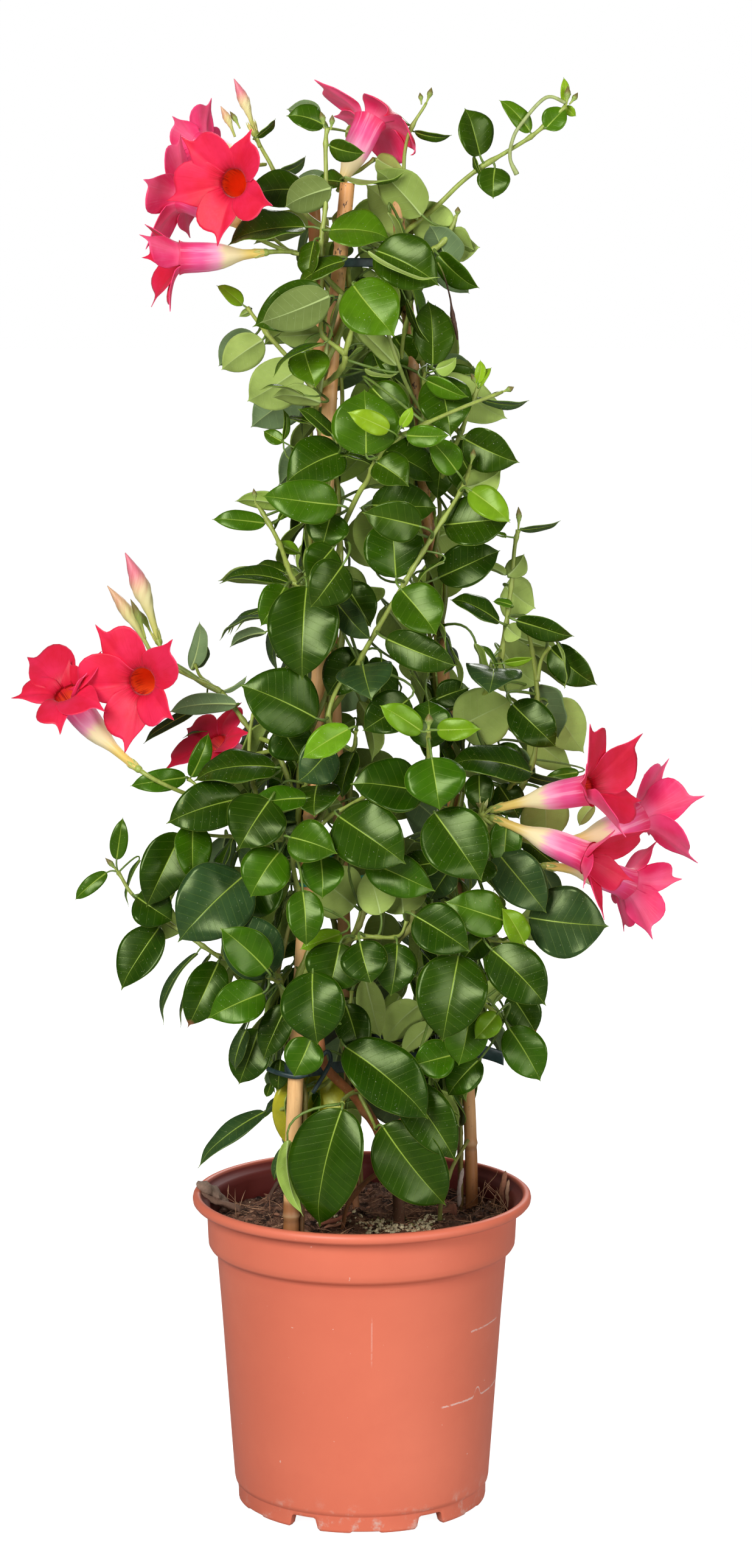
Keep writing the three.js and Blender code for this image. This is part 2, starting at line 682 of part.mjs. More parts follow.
/** Where a shoot leaves its host: on a vine at a height, or on the trunk nearest that height. */
function hostPoint([name, z]) {
  if (name !== "trunk") return vineAt(name, z);
  const points = trunkCurve.getPoints(60);
  return points.reduce((best, p) => (Math.abs(p.z - z) < Math.abs(best.z - z) ? p : best));
}

// ---- straps round the canes ----

/** The outline of a strap drawn tight round the three canes at a height. */
function strapOutline(z, clearance) {
  const rounds = ["front", "right", "back"].map((name) => ({
    centre: caneAt(name, z),
    radius: CANE_R[name] + clearance,
  }));
  const outline = [];
  rounds.forEach((round, i) => {
    const before = rounds[(i + 2) % 3].centre;
    const after = rounds[(i + 1) % 3].centre;
    const normalIn = Math.atan2(-(round.centre.x - before.x), round.centre.y - before.y);
    let normalOut = Math.atan2(-(after.x - round.centre.x), after.y - round.centre.y);
    while (normalOut < normalIn) normalOut += 2 * Math.PI;
    for (let k = 0; k <= 5; k += 1) {
      const a = normalIn + ((normalOut - normalIn) * k) / 5;
      outline.push(new THREE.Vector2(
        round.centre.x + round.radius * Math.cos(a),
        round.centre.y + round.radius * Math.sin(a),
      ));
    }
  });
  return outline;
}

/** A flat ring round the canes, from an inner to an outer clearance of them. */
function strapRing(z, height, inner, outer) {
  const shape = new THREE.Shape(strapOutline(z, outer));
  shape.holes.push(new THREE.Path(strapOutline(z, inner)));
  const geometry = new THREE.ExtrudeGeometry(shape, { depth: height, bevelEnabled: false });
  return solidOf(geometry.translate(0, 0, z - height / 2));
}

/** A strap round the canes. */
function strap([z, height, thickness]) {
  const clear = 1.5 * GAP;
  return strapRing(z, height, clear, clear + thickness);
}

/** A strap grown all round by about the clearance, for cutting its neighbours. */
function strapShadow([z, height, thickness]) {
  return strapRing(z, height + 1, GAP / 2, GAP + thickness + 0.6);
}

/** The hook that closes the hoop beside the front cane, and the loose end beyond the right cane. */
function hoopEnds(z, grow = 0) {
  const hook = new THREE.CatmullRomCurve3(
    [[-32, 268, -70], [-26, 277, -72], [-21, 282, -72], [-19, 276, -73], [-24, 266, -74], [-30, 256, -74]]
      .map(sight),
  );
  const right = caneAt("right", z);
  const end = new THREE.BoxGeometry(20 + 2 * grow, 1.4 + 2 * grow, 9 + 2 * grow);
  end.rotateY(rad(12)).rotateZ(rad(-8)).translate(right.x + 13, right.y - 5.3, z - 1);
  return [bar(hook, 1.9 + grow, 5, 9), solidOf(end)];
}

const hoopWhole = join([strap(STRAPS.hoop), ...hoopEnds(HOOP_Z)]);
const hoop = largest(cutBy(hoopWhole, [...caneShadows, ...vineShadows]));
const band = strap(STRAPS.band);
const tie = strap(STRAPS.tie);
const strapShadows = [...Object.values(STRAPS).map(strapShadow), ...hoopEnds(HOOP_Z, GAP)];
const trunk = largest(cutBy(trunkBar, [...caneShadows, ...vineShadows, ...strapShadows]));

// ---- pot and soil ----

/** Revolves a profile of [radius, height] points about the Z axis. */
function revolve(profile, segments) {
  const points = profile.map(([r, z]) => new THREE.Vector2(r, z));
  return solidOf(new THREE.LatheGeometry(points, segments).rotateX(Math.PI / 2));
}

/** The gap between two feet: a wedge with sloping sides, cut from below. */
function footNotch(direction) {
  const half = FOOT_R * Math.tan(rad(NOTCH_DEG / 2));
  const shape = new THREE.Shape([
    new THREE.Vector2(-half - 1.5, -1),
    new THREE.Vector2(half + 1.5, -1),
    new THREE.Vector2(half - 1.5, NOTCH_Z),
    new THREE.Vector2(-half + 1.5, NOTCH_Z),
  ]);
  const wedge = new THREE.ExtrudeGeometry(shape, { depth: 30, bevelEnabled: false });
  wedge.rotateX(Math.PI / 2).translate(0, FOOT_R + 12, 0);
  return solidOf(wedge.rotateZ(rad(direction - 90)));
}

/** A drain hole through the floor. */
function drainHole(direction) {
  const hole = new THREE.CylinderGeometry(DRAIN_R, DRAIN_R, 8, 8).rotateX(Math.PI / 2);
  const a = rad(direction);
  return solidOf(hole.translate(DRAIN_DISTANCE * Math.cos(a), DRAIN_DISTANCE * Math.sin(a), FLOOR_Z));
}

/** The pot: a revolved wall with a collar and a rounded rim, six feet and a drain hole over each foot. */
function makePot() {
  const footIn = FOOT_R - 5;
  const profile = [
    [0, FLOOR_Z], [footIn - 1, FLOOR_Z], [footIn, 0], [FOOT_R, 0], [FOOT_R, FOOT_Z], [WALL_FOOT_R, FOOT_Z + 1],
    [WALL_TOP_R, COLLAR_Z], [COLLAR_R, COLLAR_Z + 3], [COLLAR_R + 1, POT_HEIGHT - 7],
    [RIM_R, POT_HEIGHT - 6], [RIM_R, POT_HEIGHT - 1.5], [RIM_R - 2, POT_HEIGHT], [COLLAR_R - WALL + 1, POT_HEIGHT],
    [COLLAR_R - WALL, COLLAR_Z + 3], [WALL_TOP_R - WALL, COLLAR_Z], [WALL_FOOT_R - WALL, FLOOR_Z + WALL],
    [0, FLOOR_Z + WALL],
  ];
  const cuts = [];
  for (let i = 0; i < FEET; i += 1) {
    const foot = FOOT_TURN_DEG + (360 / FEET) * i;
    cuts.push(footNotch(foot + 180 / FEET), drainHole(foot));
  }
  return cutBy(revolve(profile, 32), cuts);
}

/** The soil: a plug that follows the pot's inside, lumpy on top, with holes for canes, vines and trunk. */
function makeSoil() {
  const skin = WALL + GAP;
  const profile = [
    [0, FLOOR_Z + skin], [WALL_FOOT_R - skin - 0.7, FLOOR_Z + skin], [WALL_TOP_R - skin - 0.7, COLLAR_Z - 0.5],
    [COLLAR_R - skin - 1.8, COLLAR_Z + 4], [COLLAR_R - skin - 1.7, SOIL_Z - 2], [66, SOIL_Z], [34, SOIL_Z + 1],
    [0, SOIL_Z + 1],
  ];
  const points = profile.map(([r, z]) => new THREE.Vector2(r, z));
  const geometry = new THREE.LatheGeometry(points, 20).rotateX(Math.PI / 2);
  const place = geometry.attributes.position;
  for (let i = 0; i < place.count; i += 1) {
    const [x, y, z] = [place.getX(i), place.getY(i), place.getZ(i)];
    const inside = z > SOIL_Z - 1;
    if (inside) place.setZ(i, z + 1.8 * Math.sin(x / 9) * Math.cos(y / 11) + 1.2 * Math.sin((x + y) / 6));
  }
  return largest(cutBy(solidOf(geometry), [...caneShadows, ...vineShadows, trunkShadow]));
}

// ---- leaves ----

/** Half the blade's width at a share of its length: rounded base, broadest below the middle, drawn-out tip. */
function halfWidth(t) {
  const broad = 0.4;
  if (t < broad) return Math.sqrt(1 - (1 - t / broad) ** 2);
  return (1 - ((t - broad) / (1 - broad)) ** 2.1) ** 1.15;
}

/**
 * One leaf: a stalk from a point of the stem, and a blade whose flat halves lift a little from a midrib that
 * arches between base and tip and stands below them as a keel. Its cross-sections are triangles, and grow
 * thickens and widens it all round.
 */
function leafSolid({ base, tip, width, facing, roll }, start, grow = 0) {
  const along = tip.clone().sub(base);
  const length = along.length();
  along.normalize();
  const upper = facing.clone().addScaledVector(along, -facing.dot(along)).normalize();
  upper.applyAxisAngle(along, rad(roll));
  const side = new THREE.Vector3().crossVectors(along, upper);
  const place = (t, across, lift) => base.clone()
    .addScaledVector(along, t * length)
    .addScaledVector(side, across)
    .addScaledVector(upper, lift + ARCH * length * 4 * t * (1 - t));
  const stations = width > 33 ? [0.12, 0.42, 0.8] : [0.28, 0.7];
  const rows = stations.map((t) => {
    const half = (width / 2) * halfWidth(t);
    const lift = half * Math.sin(rad(FOLD_DEG)) + grow;
    return [place(t, -half - 2 * grow, lift), place(t, 0, -KEEL - grow), place(t, half + 2 * grow, lift)];
  });
  const run = base.clone().sub(start).normalize();
  const stalk = (centre, direction) => {
    const across = side.clone().addScaledVector(direction, -side.dot(direction)).normalize();
    const down = new THREE.Vector3().crossVectors(direction, across);
    const r = PETIOLE_R + grow;
    return [[-r, -r], [0, r], [r, -r]].map(([u, v]) => centre.clone()
      .addScaledVector(across, u)
      .addScaledVector(down, v));
  };
  const turnsBack = run.dot(along) < -0.2 || Math.abs(run.dot(side)) > 0.97;
  if (!turnsBack) rows.unshift(stalk(start, run), stalk(base, run.clone().add(along).normalize()));
  const [root, point] = [place(-grow / length, 0, 0), place(1 + grow / length, 0, 0)];
  const faces = turnsBack ? [] : [rows[0][0], rows[0][2], rows[0][1]];
  for (let i = 0; i < 3; i += 1) {
    const j = (i + 1) % 3;
    if (turnsBack) faces.push(root, rows[0][j], rows[0][i]);
    faces.push(point, rows.at(-1)[i], rows.at(-1)[j]);
    for (let k = 0; k + 1 < rows.length; k += 1) {
      faces.push(rows[k][i], rows[k][j], rows[k + 1][j]);
      faces.push(rows[k][i], rows[k + 1][j], rows[k + 1][i]);
    }
  }
  const solid = solidOf(new THREE.BufferGeometry().setFromPoints(faces));
  if (!turnsBack) return solid;
  const inside = base.clone().lerp(tip, 0.14);
  return solid.add(bar(new THREE.LineCurve3(start, inside), PETIOLE_R + grow, 3, 1));
}

/** The nearest of a shoot's stem points to a leaf's base. */
function nearestPoint(points, base) {
  return points.reduce((best, p) => (p.distanceTo(base) < best.distanceTo(base) ? p : best));
}

/** How much of a solid lies inside the others. */
function clash(solid, others) {
  const touching = others.filter((other) => near(solid, other, 0));
  return touching.reduce((sum, other) => sum + solid.intersect(other).volume(), 0);
}

/**
 * One leaf with its stalk. A blade that would run into its neighbours is set a little nearer or farther
 * along its own line of sight, in steps, and what still meets them is cut away.
 */
function makeLeaf(row, stemPoints, obstacles) {
  let best;
  for (const shift of [0, -5, 5, -10, 10, -15, 15]) {
    const leaf = row.at(shift);
    const start = nearestPoint(stemPoints, leaf.base);
    const solid = leafSolid(leaf, start);
    const met = clash(solid, obstacles);
    if (!best || met < best.met) best = { solid, met, leaf, start };
    if (met < 0.1) break;
  }
  const { solid, leaf, start } = best;
  return { solid: cutBy(solid, obstacles), shadow: leafSolid(leaf, start, GAP) };
}

// ---- shoots ----

/** Reads the front shoots: stems as curves and leaves as base, tip, width, facing and roll. */
function frontShoot({ name, host, stems, leaves }) {
  const curves = stems.map((points, i) => {
    const places = points.map(sight);
    if (i === 0) places.unshift(hostPoint(host));
    return new THREE.CatmullRomCurve3(places);
  });
  const broad = leaves.filter((row) => row[6] >= SMALLEST_BLADE);
  const blades = broad.map(([bx, bz, by, tx, tz, ty, width, roll]) => ({
    at: (shift) => ({
      base: sight([bx, bz, by + shift]),
      tip: sight([tx, tz, ty + shift]),
      width,
      roll,
      facing: FRONT,
    }),
  }));
  return { name, curves, blades, age: leaves[0][8] };
}

/** A shoot of the back: an arching stem with leaves in pairs, each pair turned a quarter from the last. */
function backShoot([name, hostName, z, bearing, reach, rise, pairs, length], index) {
  const start = hostPoint([hostName, z]);
  const out = new THREE.Vector3(Math.cos(rad(bearing)), Math.sin(rad(bearing)), 0);
  const end = start.clone().addScaledVector(out, reach);
  end.z += rise;
  const middle = start.clone().addScaledVector(out, 0.75 * reach);
  middle.z += 0.3 * rise;
  const curve = new THREE.QuadraticBezierCurve3(start, middle, end);
  const blades = [];
  for (let k = 0; k < pairs; k += 1) {
    const node = curve.getPoint(0.3 + (0.7 * k) / (pairs - 1));
    for (const hand of [-1, 1]) {
      const swing = hand * (k % 2 ? 78 : 42) + 14 * Math.sin(2.1 * k + index);
      const level = rad(bearing + swing);
      const droop = rad(36 + 22 * Math.sin(1.7 * k + hand + index));
      const size = length * (0.86 + 0.18 * Math.sin(3.3 * k + 1.3 * hand + index));
      const direction = new THREE.Vector3(
        Math.cos(level) * Math.cos(droop),
        Math.sin(level) * Math.cos(droop),
        -Math.sin(droop),
      );
      const base = node.clone().addScaledVector(direction, 9);
      base.z += 4;
      const tip = base.clone().addScaledVector(direction, size);
      const facing = out.clone().setZ(0.9).normalize();
      blades.push({
        at: (shift) => ({
          base: base.clone().addScaledVector(facing, shift),
          tip: tip.clone().addScaledVector(facing, shift),
          width: 0.62 * size,
          roll: 10 * hand,
          facing,
        }),
      });
    }
  }
  return { name, curves: [curve], blades, age: 0 };
}

const shoots = [...SHOOTS.map(frontShoot), ...BACK_SHOOTS.map(backShoot)];
const fixed = [...caneShadows, ...vineShadows, trunkShadow, ...strapShadows];
for (const shoot of shoots) {
  const steps = (curve) => (curve.points ? curve.points.length : 4);
  const stemOf = (grow) => join(shoot.curves.map((c) => bar(c, STEM_R + grow, 4, steps(c))));
  shoot.stem = largest(cutBy(stemOf(0), fixed));
  shoot.stemShadow = stemOf(GAP);
  shoot.stemPoints = shoot.curves.flatMap((curve) => curve.getPoints(40)).slice(6);
}
shoots.forEach((shoot, i) => {
  const earlier = shoots.slice(0, i).map((s) => s.stemShadow);
  shoot.stem = largest(cutBy(shoot.stem, earlier));
});

// ---- flowers ----

/** A frame whose third axis is the way a flower faces and whose second is as near upright as it can be. */
function flowerFrame(direction) {
  const axis = vec(direction).normalize();
  const up = new THREE.Vector3(0, 0, 1).addScaledVector(axis, -axis.z).normalize();
  const right = new THREE.Vector3().crossVectors(up, axis);
  return { axis, up, right };
}

/**
 * Closes a stack of rings into a solid, with a fan over each end. Where two neighbouring rings differ in
 * count, the fuller one has a whole number of points to each point of the other.
 */
function ringStack(rings) {
  const faces = [];
  const middle = (ring) => ring.reduce((s, p) => s.add(p), new THREE.Vector3()).divideScalar(ring.length);
  const fan = (ring, flip) => {
    const hub = middle(ring);
    ring.forEach((p, i) => {
      const q = ring[(i + 1) % ring.length];
      faces.push(hub, ...(flip ? [q, p] : [p, q]));
    });
  };
  for (let k = 0; k + 1 < rings.length; k += 1) {
    const flip = rings[k].length > rings[k + 1].length;
    const [few, many] = flip ? [rings[k + 1], rings[k]] : [rings[k], rings[k + 1]];
    const tri = (p, q, r) => faces.push(...(flip ? [p, r, q] : [p, q, r]));
    const share = many.length / few.length;
    for (let i = 0; i < many.length; i += 1) {
      const foot = Math.floor(i / share);
      const next = (i + 1) % many.length;
      tri(few[foot], many[next], many[i]);
      if ((i + 1) % share === 0) tri(few[foot], few[(foot + 1) % few.length], many[next]);
    }
  }
  fan(rings[0], true);
  fan(rings.at(-1), false);
  return solidOf(new THREE.BufferGeometry().setFromPoints(faces));
}

// Each lobe of the limb, as turn from its pointed tip and share of the reach: bulge, tip, notch.
const LOBE = [[-34, 0.86], [0, 1], [14, 0.46]];

/** A funnel flower: narrow neck, wider tube, and a flat pinwheel limb of five lobes. */
function makeFlower([, start, throat, direction, reach, turn], grow = 0) {
  const { axis, up, right } = flowerFrame(direction);
  const mouth = sight(throat);
  const base = mouth.clone().addScaledVector(axis, -TUBE_LENGTH);
  const place = (s, r, degrees) => base.clone()
    .addScaledVector(axis, s)
    .addScaledVector(right, r * Math.cos(rad(degrees)))
    .addScaledVector(up, r * Math.sin(rad(degrees)));
  const fifths = [0, 1, 2, 3, 4].map((k) => turn + 72 * k);
  const round = (s, r) => fifths.map((a) => place(s, r + grow, a - 36));
  const limb = (s) => fifths.flatMap((a) => LOBE.map(([d, r]) => place(s, r * reach + grow, a + d)));
  const t = PETAL_T / 2 + grow;
  const shell = ringStack([
    round(0, NECK_R), round(NECK_LENGTH, NECK_R), round(FLARE_S - t, TUBE_R),
    limb(LIMB_S - t), limb(LIMB_S + t), round(DIMPLE_S + grow, DIMPLE_R - 2 * grow),
  ]);
  const from = sight(start);
  const neck = base.clone().addScaledVector(axis, 2);
  const lead = base.clone().addScaledVector(axis, -0.35 * from.distanceTo(base));
  const stalk = bar(new THREE.QuadraticBezierCurve3(from, lead, neck), 1.4 + grow, 3, 3);
  return shell.add(stalk);
}

/** A long pointed bud on a short stalk. */
function makeBud([, start, root, tip, width], grow = 0) {
  const [from, base, point] = [start, root, tip].map(sight);
  const axis = point.clone().sub(base);
  const length = axis.length();
  const { up, right } = flowerFrame(axis.toArray());
  axis.normalize();
  const ring = (share, r) => {
    const points = [];
    for (let i = 0; i < 6; i += 1) {
      const a = (2 * Math.PI * i) / 6;
      points.push(base.clone()
        .addScaledVector(axis, share * length)
        .addScaledVector(right, (r + grow) * Math.cos(a))
        .addScaledVector(up, (r + grow) * Math.sin(a)));
    }
    return points;
  };
  const w = width / 2;
  const body = ringStack([
    ring(0, 0.32 * w), ring(0.25, 0.45 * w), ring(0.5, 0.96 * w),
    ring(0.64, w), ring(0.84, 0.5 * w), ring(1, 0.1 * w),
  ]);
  return body.add(bar(new THREE.LineCurve3(from, base.clone().addScaledVector(axis, 2)), 1.1 + grow, 5, 1));
}

const stemShadows = shoots.map((s) => s.stemShadow);
const blooms = [];
const bloomShadows = [];
for (const [rows, make, colour] of [[FLOWERS, makeFlower, "#ea2a45"], [BUDS, makeBud, "#e3dfae"]]) {
  for (const row of rows) {
    const around = [...fixed, ...stemShadows, ...bloomShadows];
    blooms.push({ name: row[0], solid: largest(cutBy(make(row), around)), colour });
    bloomShadows.push(make(row, GAP));
  }
}

// Leaves give way to stems, flowers, canes, straps and to the leaves placed before them.
const leafShadows = [];
for (const shoot of shoots) {
  const others = shoots.filter((s) => s !== shoot).map((s) => s.stemShadow);
  const obstacles = [...fixed, ...others, ...bloomShadows, ...leafShadows];
  const parts = [shoot.stem];
  for (const row of shoot.blades) {
    const leaf = makeLeaf(row, shoot.stemPoints, obstacles);
    if (!leaf.solid.isEmpty()) parts.push(largest(leaf.solid));
    leafShadows.push(leaf.shadow);
  }
  shoot.solid = largest(join(parts));
}

// ---- the whole part ----
const part = new THREE.Group();
part.name = "mandevilla_in_pot";

/** Adds a piece to the part under its own name. */
function addPiece(name, solid, colour, roughness) {
  const material = new THREE.MeshStandardMaterial({ color: colour, roughness, metalness: 0 });
  const mesh = new THREE.Mesh(geometryOf(solid), material);
  mesh.name = name;
  part.add(mesh);
}

addPiece("pot", makePot(), "#d9745a", 0.55);
addPiece("soil", makeSoil(), "#4a3830", 0.95);
for (const [name, solid] of Object.entries(canes)) addPiece(`cane_${name}`, solid, "#d9a877", 0.7);
for (const [name, solid] of Object.entries(vines)) addPiece(`vine_${name}`, solid, "#7f8f3c", 0.6);
addPiece("trunk", trunk, "#7a4e34", 0.85);
addPiece("hoop_lower", hoop, "#1f3f45", 0.5);
addPiece("band_middle", band, "#3fae94", 0.5);
addPiece("tie_upper", tie, "#1f3f45", 0.5);
for (const bloom of blooms) addPiece(bloom.name, bloom.solid, bloom.colour, 0.5);
for (const shoot of shoots) addPiece(shoot.name, shoot.solid, AGE_COLOURS[shoot.age], 0.4);

export default part;
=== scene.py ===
# %% [markdown]
# # A mandevilla on three bamboo canes, in its nursery pot
#
# The plant twines up a cone of canes that stands in a terracotta-coloured plastic pot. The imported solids
# say where each piece is; this file gives every piece the surface and the finish of the real one.
# All the shapes are worked out with numpy, in millimetres, and turned to metres as they become meshes.

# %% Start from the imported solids
import math

import bpy
import numpy as np
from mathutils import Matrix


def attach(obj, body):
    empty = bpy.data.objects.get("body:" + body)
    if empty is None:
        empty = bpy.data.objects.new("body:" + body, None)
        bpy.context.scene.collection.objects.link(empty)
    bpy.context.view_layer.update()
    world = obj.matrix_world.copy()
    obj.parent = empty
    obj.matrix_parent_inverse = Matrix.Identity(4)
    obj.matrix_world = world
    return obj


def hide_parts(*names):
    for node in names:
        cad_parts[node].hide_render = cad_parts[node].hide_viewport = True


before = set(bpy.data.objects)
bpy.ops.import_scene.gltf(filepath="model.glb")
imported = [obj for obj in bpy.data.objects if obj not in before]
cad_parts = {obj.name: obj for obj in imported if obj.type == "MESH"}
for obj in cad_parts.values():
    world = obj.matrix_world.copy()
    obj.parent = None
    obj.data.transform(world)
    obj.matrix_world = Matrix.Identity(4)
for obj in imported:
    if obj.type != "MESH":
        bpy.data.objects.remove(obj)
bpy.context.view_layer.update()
scene = bpy.context.scene
chance = np.random.default_rng(7)
draw = chance.uniform  # draw(low, high) is a chance number between the two
norm = np.linalg.norm

# %% [markdown]
# ## One way of placing things
#
# The front of the plant is laid out as an elevation: a place is (x, z, depth). `sight` carries it along the
# line of sight to its real depth, so a leaf can be moved nearer or farther without leaving its place
# in the front view. Stems are curves through a few such places.

# %% From the front elevation to space
EYE = np.array([9.0, -2200.0, 765.0])
FRONT = np.array([0, -0.95, 0.3])


def sight(places):
    """Places (x, z, depth) as points (x, y, z): eye + share * (place - eye), share = how far off."""
    p = np.asarray(places, float)
    share = (p[..., 2] - EYE[1]) / -EYE[1]
    x = EYE[0] + share * (p[..., 0] - EYE[0])
    z = EYE[2] + share * (p[..., 1] - EYE[2])
    return np.stack([x, p[..., 2], z], -1)


def unit(v):
    """A vector, or an array of them, divided by its length."""
    v = np.asarray(v, float)
    return v / np.maximum(norm(v, axis=-1, keepdims=True), 1e-9)


def dot(a, b):
    """The dot product along the last axis, kept as a column."""
    return np.sum(np.asarray(a) * np.asarray(b), -1, keepdims=True)


def spline(points, steps=8):
    """A Catmull-Rom curve: each span is a cubic of its two ends and their two neighbours."""
    p = np.asarray(points, float)
    p = np.vstack([2 * p[0] - p[1], p, 2 * p[-1] - p[-2]])
    t = np.linspace(0, 1, steps, endpoint=False)[None, :, None]
    a, b, c, d = (p[k : len(p) - 3 + k, None] for k in range(4))
    spans = 0.5 * (2 * b + (c - a) * t + (2 * a - 5 * b + 4 * c - d) * t**2 + (3 * b - a - 3 * c + d) * t**3)
    return np.vstack([spans.reshape(-1, p.shape[-1]), p[-2]])


def bezier(a, b, c, steps=6):
    """A curve from a to c drawn towards b: (1-t)^2 a + 2t(1-t) b + t^2 c."""
    t = np.linspace(0, 1, steps + 1)[:, None]
    return (1 - t) ** 2 * a + 2 * t * (1 - t) * b + t**2 * c


def bearings(count):
    """Evenly spaced bearings all round, in radians."""
    return np.linspace(0, 2 * np.pi, count, endpoint=False)


def columns(*values):
    """Values over one grid, stretched to its whole size, as columns: a row for each point of the grid."""
    return np.stack(np.broadcast_arrays(*values), -1).reshape(-1, len(values))


def smooth(x, low, high):
    """0 below low, 1 above high, and 3s^2 - 2s^3 between."""
    s = np.clip((x - low) / (high - low), 0, 1)
    return s * s * (3 - 2 * s)


def hump(x, width):
    """A smooth hump about 0: exp(-(x / width)^2)."""
    return np.exp(-((x / width) ** 2))


print("the eye is", round(float(norm(EYE)) / 1000, 2), "m from the pot")

# %% [markdown]
# ## Grids become meshes
#
# Every surface here is a grid of points. `weave` numbers the quads of a grid, `Pile` gathers grids with
# three values at each point that the finishes read later, and `mesh_of` writes a whole pile into one mesh
# with foreach_set, which is far quicker than building faces one at a time.

# %% Weaving grids
def weave(rows, cols, wrap=False, wrap_rows=False):
    """The quads of a rows by cols grid numbered row by row; wrap joins the last column to the first."""
    i = np.arange(rows if wrap_rows else rows - 1)[:, None]
    j = np.arange(cols if wrap else cols - 1)[None, :]
    k, m = (j + 1) % cols, (i + 1) % rows
    return columns(i * cols + j, i * cols + k, m * cols + k, m * cols + j)


def fans(rows, cols):
    """Triangles from a wrapped grid's first and last row to two hub points that come after its own."""
    j = np.arange(cols)
    k, hub = (j + 1) % cols, rows * cols
    return (np.stack([np.full(cols, hub), k, j], -1),
            np.stack([np.full(cols, hub + 1), hub - cols + j, hub - cols + k], -1))


class Pile:
    """Points, faces and values gathered for one piece."""

    def __init__(self):
        self.points, self.faces = [], []
        self.values = {"mark": [], "extra": [], "tint": []}
        self.count = 0

    def add(self, points, faces, mark=(0, 0, 0), extra=(0, 0, 0), tint=(0, 0, 0)):
        """Adds points (n, 3), three values of three numbers each, and a list of (faces, slot, smooth)."""
        points = np.asarray(points, float).reshape(-1, 3)
        self.points.append(points)
        for key, value in (("mark", mark), ("extra", extra), ("tint", tint)):
            self.values[key].append(np.broadcast_to(np.asarray(value, float), points.shape))
        for which, slot, soft in faces:
            self.faces.append((np.asarray(which) + self.count, slot, soft))
        self.count += len(points)


def mesh_of(name, pile):
    """Writes a pile into a new mesh: points in metres, faces, and its three values as attributes."""
    mesh = bpy.data.meshes.new(name)
    points = np.concatenate(pile.points) / 1000
    sizes = np.concatenate([np.full(len(f), f.shape[1]) for f, _, _ in pile.faces])
    mesh.vertices.add(len(points))
    mesh.vertices.foreach_set("co", points.astype(np.float32).ravel())
    mesh.loops.add(int(sizes.sum()))
    corners = np.concatenate([f.ravel() for f, _, _ in pile.faces])
    mesh.loops.foreach_set("vertex_index", corners.astype(np.int32))
    mesh.polygons.add(len(sizes))
    mesh.polygons.foreach_set("loop_start", np.concatenate([[0], np.cumsum(sizes)[:-1]]).astype(np.int32))
    for key, which, kind in (("material_index", 1, np.int32), ("use_smooth", 2, bool)):
        values = np.concatenate([np.full(len(f[0]), f[which], kind) for f in pile.faces])
        mesh.polygons.foreach_set(key, values)
    mesh.update(calc_edges=True)
    for key, values in pile.values.items():
        field = mesh.attributes.new(key, "FLOAT_VECTOR", "POINT")
        field.data.foreach_set("vector", np.concatenate(values).astype(np.float32).ravel())
    return mesh


def add_object(name, data):
    """A new object in the scene."""
    thing = bpy.data.objects.new(name, data)
    scene.collection.objects.link(thing)
    return thing


made = {}


def piece(name, pile, finishes, nodes):
    """Makes a piece of a pile: it rides on the root and stands for the named solids."""
    mesh = mesh_of(name, pile)
    for finish in finishes:
        mesh.materials.append(finish)
    thing = add_object(name, mesh)
    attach(thing, "root")
    if nodes:
        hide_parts(*nodes)
    made[name] = sum(len(f) * (f.shape[1] - 2) for f, _, _ in pile.faces)
    return thing


print("a 3 by 4 grid has", len(weave(3, 4)), "quads")

# %% [markdown]
# Most of the pieces are round bars: stems, canes, fibres, flower tubes. `rings` puts a circle of its own
# radius at each centre and closes both ends, `tube` finds the circles' directions from a path.

# %% Round bars
def rings(pile, centres, u, v, radius, sides=8, slot=0, inner_from=None, ribs=None, flat=1.0, **values):
    """A closed stack of rings: centre + radius * (cos(turn) u + flat sin(turn) v), with u x v pointing on.

    The mark is the turn as a share, the way along in mm, and the share of the way along. Rings from
    inner_from on take the next finish. ribs(turn, share) multiplies the radius.
    """
    centres = np.asarray(centres, float)
    n = len(centres)
    turn = bearings(sides)[None, :]
    way = np.concatenate([[0], np.cumsum(norm(np.diff(centres, axis=0), axis=1))])[:, None]
    share = way / max(way[-1, 0], 1e-9)
    size = np.broadcast_to(np.asarray(radius, float), (n,))[:, None] * np.ones_like(turn)
    if ribs is not None:
        size = size * ribs(turn, share)
    u, v = (np.broadcast_to(w, (n, 3))[:, None] for w in (u, v))
    size = size[..., None]
    points = centres[:, None] + size * (np.cos(turn)[..., None] * u + flat * np.sin(turn)[..., None] * v)
    mark = columns(turn / (2 * np.pi), way, share)
    points = np.vstack([points.reshape(-1, 3), centres[:1], centres[-1:]])
    mark = np.vstack([mark, [[0, 0, 0], [0, way[-1, 0], 1]]])
    for key, value in values.items():
        if np.ndim(value) == 2:
            value = np.repeat(value, sides, 0)
            values[key] = np.vstack([value, value[:1], value[-1:]])
    first, last = fans(n, sides)
    wall = weave(n, sides, wrap=True)
    turn_over = (n - 1 if inner_from is None else inner_from) * sides
    last_slot = slot if inner_from is None else slot + 1
    faces = [(wall[:turn_over], slot, True), (first, slot, False), (last, last_slot, False)]
    if inner_from is not None:
        faces.append((wall[turn_over:], last_slot, True))
    pile.add(points, faces, mark, **values)


def tube(pile, path, radius, sides=8, **more):
    """A round bar along a path: each point carries a ring square to the way the path runs there."""
    path = np.asarray(path, float)
    ahead = unit(np.gradient(path, axis=0))
    axis = np.eye(3)[np.argmin(np.abs(ahead).max(0))]
    across = unit(axis - ahead * dot(axis, ahead))
    rings(pile, path, across, np.cross(ahead, across), radius, sides, **more)


